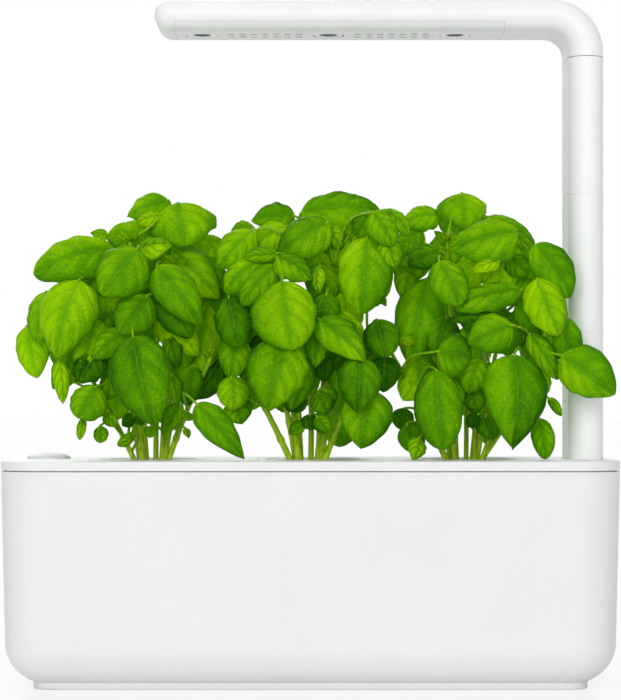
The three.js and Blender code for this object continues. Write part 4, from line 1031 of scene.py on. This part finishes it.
class Leaf:
    """One leaf's place, in millimetres, the bends, waves and puffs drawn for it, and its tone with
    painted light and shade.
    """

    def __init__(self, row, front, dice):
        base = Vector((row.base_x, -front * (row.depth - row.lean / 2), row.base_z))
        tip = Vector((row.tip_x, -front * (row.depth + row.lean / 2), row.tip_z))
        self.base = base * LEAF
        self.along = tip * LEAF - self.base
        self.forward = self.along.normalized()
        across = self.forward.cross(Vector((0, -front, 0))).normalized()
        turn = Matrix.Rotation(math.radians(row.turn * front), 3, self.forward)
        self.across = turn @ across
        self.face = self.across.cross(self.forward).normalized()
        self.length = self.along.length
        self.half_width = row.width * LEAF * LEAF_FULLNESS / 2
        self.big = row.width >= BIG_LEAF
        self.pairs = VEIN_PAIRS if self.big else SMALL_VEIN_PAIRS
        self.roll = math.radians(dice.uniform(46, 66))
        self.bow = LEAF_BOW * dice.uniform(0.8, 1.2)
        self.sickle = dice.uniform(-0.035, 0.035) * self.length
        self.waves = dice.uniform(2.2, 3.6)
        self.fullness = dice.uniform(0.9, 1.08), dice.uniform(0.9, 1.08)
        self.scallop = dice.uniform(0.01, 0.04), dice.uniform(0.01, 0.04)
        self.wave_height = dice.uniform(0.04, 0.11) * self.half_width
        self.phases = dice.uniform(0, 1), dice.uniform(0, 1)
        self.pillow = self.half_width * dice.uniform(0.17, 0.25)
        # Painted light and shade: a tone gradient along and across the leaf that paints one part
        # lit and the other shaded
        self.painted_light_along = dice.uniform(-0.55, 0.2)
        self.painted_light_across = dice.uniform(-0.45, 0.45)
        self.tip_drop = dice.uniform(0.02, 0.08) * self.length
        self.taper = dice.uniform(0.55, 0.95)
        # The row's tone, partly the leaf's own colour and partly painted light and shade, with a
        # random change
        self.tone = row.tone + dice.uniform(-0.3, 0.16)

    def half_width_at(self, u):
        """Half the width at a share u of the length, largest at 0.5 / (0.5 + taper)."""
        widest = 0.5 / (0.5 + self.taper)
        peak = widest ** 0.5 * (1 - widest) ** self.taper
        share = max(u, 0.0) ** 0.5 * max(1 - u, 0.0) ** self.taper / peak
        return self.half_width * min(max(share, 0.03), 1.0)

    def points(self, u, v):
        """Upper and lower point at u along the leaf, 0 to 1, and v across it, -1 to 1."""
        size = abs(v)
        side = 0 if v < 0 else 1
        theta = self.roll * v
        scallop = math.sin(2 * math.pi * (self.pairs * u + self.phases[1 - side]))
        wide = self.half_width_at(u) * self.fullness[side] * (1 + self.scallop[side] * scallop)
        reach = wide * math.sin(theta) / math.sin(self.roll)
        drop = wide * (1 - math.cos(theta)) / math.sin(self.roll)
        droop = max(0, u - DROOP_START) / (1 - DROOP_START)
        height = self.bow * self.length * 4 * u * (1 - u) - self.tip_drop * droop ** 2 - drop
        # Puffs between the veins, which fade to the midrib, the margin and both ends
        phase = (u - VEIN_SWEEP * size ** VEIN_ARCH) * self.pairs + 0.5 * side
        ends = min(u / 0.12, 1.0) * min((1 - u) / 0.1, 1.0)
        fade = min(size / 0.22, 1.0) * (1 - size ** 2.5) * ends
        height += self.pillow * math.sin(math.pi * phase) ** 2 * fade
        midrib = math.exp(-(v / MIDRIB_WIDTH) ** 2)
        height -= 0.09 * self.half_width * midrib * ends
        wave = math.sin(2 * math.pi * (self.waves * u + self.phases[side]))
        height += self.wave_height * wave * size ** 3
        middle = self.base + self.along * u + self.across * (self.sickle * math.sin(math.pi * u))
        top = middle + self.across * reach + self.face * height
        thickness = LEAF_SKIN * (0.35 + 0.65 * (1 - size ** 3)) + 0.45 * (1 - u) * midrib
        inward = self.across * math.sin(theta) + self.face * math.cos(theta)
        return top, top - inward * thickness


def move_inside(points, fence):
    """Moves points along x until they are inside the fence, and returns by how much."""
    shift = 0.0
    for point in points:
        right = fence.right + fence.right_slope * point.y
        left = fence.left + fence.left_slope * point.y
        shift = min(shift, right - point.x) if point.x + shift > right else shift
        shift = max(shift, left - point.x) if point.x + shift < left else shift
    for point in points:
        point.x += shift
    return shift


def shell_faces(stations, columns):
    """Upper faces, lower faces and rim of a leaf with its upper points first."""
    faces = []
    row_size = columns + 1
    under = (stations + 1) * row_size
    for i in range(stations):
        for j in range(columns):
            a = i * row_size + j
            quad = [a, a + row_size, a + row_size + 1, a + 1]
            faces.append(quad)
            faces.append([under + index for index in reversed(quad)])
    rim = list(range(row_size))
    rim += [i * row_size + columns for i in range(1, stations + 1)]
    rim += [stations * row_size + j for j in range(columns - 1, -1, -1)]
    rim += [i * row_size for i in range(stations - 1, 0, -1)]
    for k, a in enumerate(rim):
        b = rim[(k + 1) % len(rim)]
        faces.append([a, b, under + b, under + a])
    return faces


def grow_leaf(foliage, row, front, dice, fence):
    """Adds one leaf, moved inside the plant's fence, and returns its base and direction."""
    leaf = Leaf(row, front, dice)
    stations, columns = LEAF_SPAN if leaf.big else SMALL_LEAF_SPAN
    tops = []
    unders = []
    coords = []
    tones = []
    for i in range(stations + 1):
        u = 0.5 - 0.5 * math.cos(math.pi * (0.04 + 0.96 * i / stations))
        for j in range(columns + 1):
            v = 2 * j / columns - 1
            top, under = leaf.points(u, v)
            tops.append(top)
            unders.append(under)
            coords.append((u, (v + 1) / 2))
            # Each point's tone: the leaf's tone with its painted gradient of light and shade
            tones.append(leaf.tone + leaf.painted_light_along * (u - 0.4) + leaf.painted_light_across * v)
    points = tops + unders
    shift = move_inside(points, fence)
    tones += [tone + 0.25 for tone in tones]
    foliage.add(points, shell_faces(stations, columns), coords * 2, tones, BLADE)
    return leaf.base + Vector((shift, 0, 0)), leaf.forward


def curve_points(path, count):
    """Points on a smooth curve through the path's points."""
    points = []
    spans = len(path) - 1
    for step in range(count + 1):
        place = step / count * spans
        k = min(int(place), spans - 1)
        t = place - k
        before = path[k - 1] if k > 0 else path[k] * 2 - path[k + 1]
        after = path[k + 2] if k + 2 <= spans else path[k + 1] * 2 - path[k]
        a, b = path[k], path[k + 1]
        points.append(0.5 * (2 * a + (b - before) * t
                             + (2 * before - 5 * a + 4 * b - after) * t ** 2
                             + (3 * a - before - 3 * b + after) * t ** 3))
    return points


def grow_leaf_on(foliage, samples, row, front, dice, fence):
    """Adds a leaf and the petiole that carries it from the nearest of the stalks' samples."""
    base, forward = grow_leaf(foliage, row, front, dice, fence)
    drop = PETIOLE_DROPS[0] if base.z > HIGH_LEAF * LEAF else PETIOLE_DROPS[1]
    wish = base - Vector((0, 0, drop * LEAF))
    start = min(samples, key=lambda sample: (sample - wish).length)
    reach = (base - start).length
    bend = base - forward * reach * 0.3 + Vector((0, 0, reach * 0.06))
    inside = base + forward * 1.5
    path = curve_points([start, start.lerp(bend, 0.55), base, inside], PETIOLE_STEPS)
    radii = [0.78 - 0.28 * step / PETIOLE_STEPS for step in range(PETIOLE_STEPS + 1)]
    foliage.tube(path, radii, 8, [0.0] * len(path))


def grow_tip(foliage, top, up, dice, fence):
    """The cluster of small folded leaves at the top of a stalk."""
    turn = dice.uniform(0, 360)
    base = top / LEAF
    for k in range(5):
        angle = math.radians(turn + 137 * k)
        out = Vector((math.cos(angle), math.sin(angle), 0))
        size = dice.uniform(0.1, 0.2)
        tip = base + (up * dice.uniform(0.3, 0.9) + out).normalized() * size
        front = 1 if out.y < 0 else -1
        lean = -front * (tip.y - base.y)
        grow_leaf(foliage, LeafRow(
            base.x, base.z, tip.x, tip.z, size * 0.55, -front * base.y + lean / 2, lean,
            dice.uniform(-30, 30), dice.uniform(0.1, 0.7),
        ), front, dice, fence)


def grow_stalks(foliage, dice, fence):
    """Adds the fan of stalks with their tips, and returns points on them for the petioles."""
    samples = []
    foot_z = SPONGE_TOP - LID_TOP - 1
    steps = range(STALK_STEPS + 1)
    for k, (top_x, top_z, depth) in enumerate(in_shares(row) for row in STALK_TOPS):
        angle = 2 * math.pi * k / len(STALK_TOPS)
        foot = Vector((9.5 * top_x / (0.35 + abs(top_x)), 6 * math.sin(angle), foot_z))
        top = Vector((top_x, -depth, top_z)) * LEAF
        knee = foot.lerp(top, 0.5)
        knee.x = foot.x + (top.x - foot.x) * 0.46
        path = curve_points([foot, knee, top], STALK_STEPS)
        joints = [dice.uniform(0.2, 0.3), dice.uniform(0.45, 0.55), dice.uniform(0.7, 0.8)]
        girth = dice.uniform(0.85, 1.15)
        radii = []
        for step in steps:
            share = step / STALK_STEPS
            swell = sum(math.exp(-((share - place) / 0.02) ** 2) for place in joints)
            radii.append(girth * (1.4 - 0.6 * share) * (1 + 0.3 * swell))
        foliage.tube(path, radii, 16, [1 - step / STALK_STEPS for step in steps], ribs=0.09)
        samples += path[4:]
        grow_tip(foliage, path[-1], (path[-1] - path[-3]).normalized(), dice, fence)
    return samples


def in_shares(numbers):
    return tuple(number / 100 for number in numbers)


def leaf_rows(table):
    """Leaf rows in shares of LEAF, from a table in hundredths."""
    return [LeafRow(*in_shares(row[:7]), row[7], row[8] / 100) for row in table]


def grow_plant(number, x, leaves, inner, small, front, fence):
    dice = random.Random(number * 17)
    foliage = Foliage(x)
    samples = grow_stalks(foliage, dice, fence)
    rows = leaf_rows(leaves)
    rows += leaf_rows(row[:6] + (INNER_LEAN,) + row[6:] for row in inner)
    rows += [LeafRow(*in_shares(row[:6] + (INNER_LEAN,)), dice.uniform(-25, 25), row[6] / 100)
             for row in small]
    for row in rows:
        grow_leaf_on(foliage, samples, row, 1, dice, fence)
    for row in leaf_rows(front):
        grow_leaf_on(foliage, samples, row, 1, dice, Fence(-2 * LEAF, 0.0, 2 * LEAF, 0.0))
    for row in leaf_rows(leaves):
        if row.width >= REAR_WIDTH:
            rear = row._replace(
                base_x=row.base_x * REAR_SPREAD, base_z=row.base_z * REAR_HEIGHT,
                tip_x=row.tip_x * REAR_SPREAD, tip_z=row.tip_z * REAR_HEIGHT,
                tone=dice.uniform(-0.4, 0.4),
            )
            grow_leaf_on(foliage, samples, rear, -1, dice, fence)
    return foliage.build(f"basil_plant_{number}")


def grow_side_twig(x):
    dice = random.Random(71)
    foliage = Foliage(x)
    corners = [in_shares(row) for row in SIDE_TWIG]
    corners = [Vector((corner_x, -depth, z)) * LEAF for corner_x, z, depth in corners]
    path = curve_points(corners, TWIG_STEPS)
    steps = range(TWIG_STEPS + 1)
    radii = [1.15 - 0.4 * step / TWIG_STEPS for step in steps]
    foliage.tube(path, radii, 12, [0.6 - step / 60 for step in steps], ribs=0.08)
    for row in leaf_rows(SIDE_LEAVES):
        grow_leaf_on(foliage, path[8:], row, 1, dice, Fence(-LEAF, 0.0, 2 * LEAF, 0.0))
    return foliage.build("basil_side_twig")


def make_leaf_material():
    """Green leaf with pale ribs, creased veins and a fine net of cells, painted shadow beside the
    veins, painted light and shade across the blade and a painted pale rim.
    """
    graph, shader = new_material("leaf")
    times = partial(graph.math, "MULTIPLY")
    plus = partial(graph.math, "ADD")
    minus = partial(graph.math, "SUBTRACT")
    least = partial(graph.math, "MINIMUM")
    most = partial(graph.math, "MAXIMUM")
    power = partial(graph.math, "POWER")
    size_of = partial(graph.math, "ABSOLUTE")
    sine = partial(graph.math, "SINE")

    def line(distance, sharpness):
        """1 where the distance is 0, falling to 0 beside it."""
        return minus(1.0, least(times(distance, sharpness), 1.0))

    def total(start, parts):
        """A start and the parts' sources, each times its weight."""
        for source, weight in parts:
            start = plus(times(source, weight), start)
        return start

    place = graph.place()
    blade = graph.add("UVMap")
    blade.uv_map = "blade"
    split = graph.add("SeparateXYZ", {"Vector": blade.outputs["UV"]})
    along = split.outputs["X"]
    across = split.outputs["Y"]
    cloud = graph.noise(place, 90.0)
    fine = graph.noise(place, 1500.0)
    net = graph.add("TexVoronoi", {"Vector": place, "Scale": 430.0})
    net.feature = "DISTANCE_TO_EDGE"
    cell = least(times(net.outputs["Distance"], 3.0), 1.0)

    # Veins, as a phase that is whole on each of them
    size = times(size_of(minus(across, 0.5)), 2.0)
    side = times(graph.math("GREATER_THAN", across, 0.5), 0.5)
    sweep = times(power(size, VEIN_ARCH), VEIN_SWEEP)
    phase = plus(times(minus(along, sweep), VEIN_PAIRS), side)
    wave = size_of(sine(times(phase, math.pi)))
    # Painted shadow: a dark line beside each vein and along the midrib, as in a crease with one
    # lit side.
    beside = size_of(sine(times(minus(phase, 0.07), math.pi)))
    inner = least(times(minus(1.0, size), 4.0), 1.0)
    vein = times(times(line(wave, 5.0), inner), 0.75)
    rib_shadow = line(size, 10.0)
    shadow = times(most(line(beside, 3.0), rib_shadow), inner)
    # Painted highlight: a pale rim along the margin, where light catches the curled edge.
    rim = times(most(minus(size, 0.95), 0.0), 20.0)
    pale_veins_and_rim_light = least(plus(most(vein, line(size, 24.0)), rim), 1.0)

    # Painted light and shade: lighter midway between the midrib and the margin, darker towards the
    # margin.
    painted_light_band = times(size, minus(1.0, size))
    # The tone that picks the green: the leaf's tone, cloud and cells, with the painted light band,
    # the painted shade at the margin and the painted vein shadows.
    shade = total(0.094, (
        (graph.tone(), 0.5), (cloud, 0.5), (painted_light_band, 0.72), (power(size, 3.0), -0.16),
        (shadow, -0.1), (cell, 0.08),
    ))
    green_and_painted_light = graph.ramp(shade, [
        (0.0, (0.012, 0.1, 0.001)), (0.42, (0.15, 0.44, 0.001)), (0.85, (0.5, 0.85, 0.002)),
    ])
    crease = power(least(times(wave, 1.3), 1.0), 0.6)
    relief = total(times(times(crease, inner), 0.55), (
        (rib_shadow, -0.3), (cell, 0.08), (cloud, 2.4), (fine, 0.25),
    ))
    graph.fill(shader, {
        # Pale veins and the painted rim highlight are mixed over the green.
        "Base Color": graph.blend(times(pale_veins_and_rim_light, 0.55), green_and_painted_light, (0.32, 0.66, 0.02, 1)),
        "Roughness": graph.spread(cloud, 0.36, 0.52),
        "Specular IOR Level": 0.04,
        "Normal": graph.bump(relief, 0.001),
    })
    through = graph.add("BsdfTranslucent", {"Color": (0.42, 0.82, 0.004, 1)})
    graph.show_mix(0.34, shader, through)


def make_stalk_material():
    """Ribbed stalks, pale at the foot and green at the top."""
    graph, shader = new_material("stalk")
    streak = graph.noise(graph.place(), 700.0, 4.0, (1.0, 1.0, 0.06))
    old = graph.ramp(streak, [
        (0.3, (0.3, 0.52, 0.01)), (0.5, (0.46, 0.68, 0.02)), (0.7, (0.7, 0.86, 0.1)),
    ])
    young = graph.ramp(streak, [(0.3, (0.12, 0.34, 0.002)), (0.7, (0.34, 0.62, 0.01))])
    graph.fill(shader, {
        "Base Color": graph.blend(graph.tone(), young, old),
        "Roughness": 0.45,
        "Specular IOR Level": 0.08,
        "Normal": graph.bump(streak, 0.0003),
    })


make_leaf_material()
make_stalk_material()


def dress_plant(obj, body, node):
    dress(obj, body, "leaf", node)
    obj.data.materials.append(looks["stalk"])


for number, (x, plant) in enumerate(zip(pod_xs, PLANTS), 1):
    dress_plant(grow_plant(number, x, *plant), f"pod_{number}", f"basil_{number}")
dress_plant(grow_side_twig(pod_xs[2]), "pod_3", "basil_3_side_leaves")


# Stage, light and camera
def seen_directly(graph):
    """1 for camera, glossy and transmission rays, 0 for the rays that light things."""
    path = graph.add("LightPath")
    seen = path.outputs["Is Camera Ray"]
    for output in ("Is Glossy Ray", "Is Transmission Ray"):
        seen = graph.math("MAXIMUM", seen, path.outputs[output])
    return seen


def make_floor():
    """A pale floor that looks white and keeps the garden's shadow."""
    mesh = bmesh.new()
    bmesh.ops.create_grid(mesh, x_segments=8, y_segments=8, size=30)
    floor = add_object("floor", mesh)
    graph, shader = new_material("floor")
    seen = seen_directly(graph)
    level = graph.spread(seen, 0.86, 0.98)
    paint = graph.add("CombineColor", {"Red": level, "Green": level, "Blue": level})
    graph.fill(shader, {
        "Base Color": paint.outputs["Color"],
        "Roughness": 0.12,
        "Specular IOR Level": 0.12,
    })
    glow = graph.add("Emission", {"Strength": 1.0})
    graph.show_mix(graph.math("MULTIPLY", seen, 0.72), shader, glow)
    floor.data.materials.append(looks["floor"])


def make_world():
    world = bpy.data.worlds.new("studio")
    bpy.context.scene.world = world
    world.use_nodes = True
    graph = Graph(world.node_tree)
    graph.fill(graph.nodes["Background"], {
        "Color": (1, 1, 1, 1),
        "Strength": graph.spread(seen_directly(graph), 0.24, 1.0),
    })


def add_sun(name, direction, level, angle):
    """A soft distant lamp that lights a face square to it as a plain level says."""
    light = bpy.data.lights.new(name, "SUN")
    light.energy = level * math.pi
    light.angle = math.radians(angle)
    obj = bpy.data.objects.new(name, light)
    bpy.context.scene.collection.objects.link(obj)
    obj.rotation_mode = "QUATERNION"
    obj.rotation_quaternion = Vector(direction).to_track_quat("Z", "Y")


def make_camera():
    data = bpy.data.cameras.new("camera")
    data.lens = 130.06
    data.sensor_width = 36.0
    data.shift_y = 0.082
    camera = bpy.data.objects.new("camera", data)
    bpy.context.scene.collection.objects.link(camera)
    camera.location = (0, -1.2825, 0.138)
    camera.rotation_euler = (math.pi / 2, 0, 0)
    bpy.context.scene.camera = camera


make_floor()
make_world()
add_sun("front_left", (-0.28, -1.0, 0.26), 0.35, 34)
add_sun("front_right", (0.28, -1.0, 0.18), 0.21, 34)
add_sun("top", (0.0, -0.1, 1.0), 0.23, 60)
add_sun("back", (-0.2, 1.0, 0.7), 0.32, 24)
make_camera()
bpy.context.scene.view_settings.view_transform = "Standard"
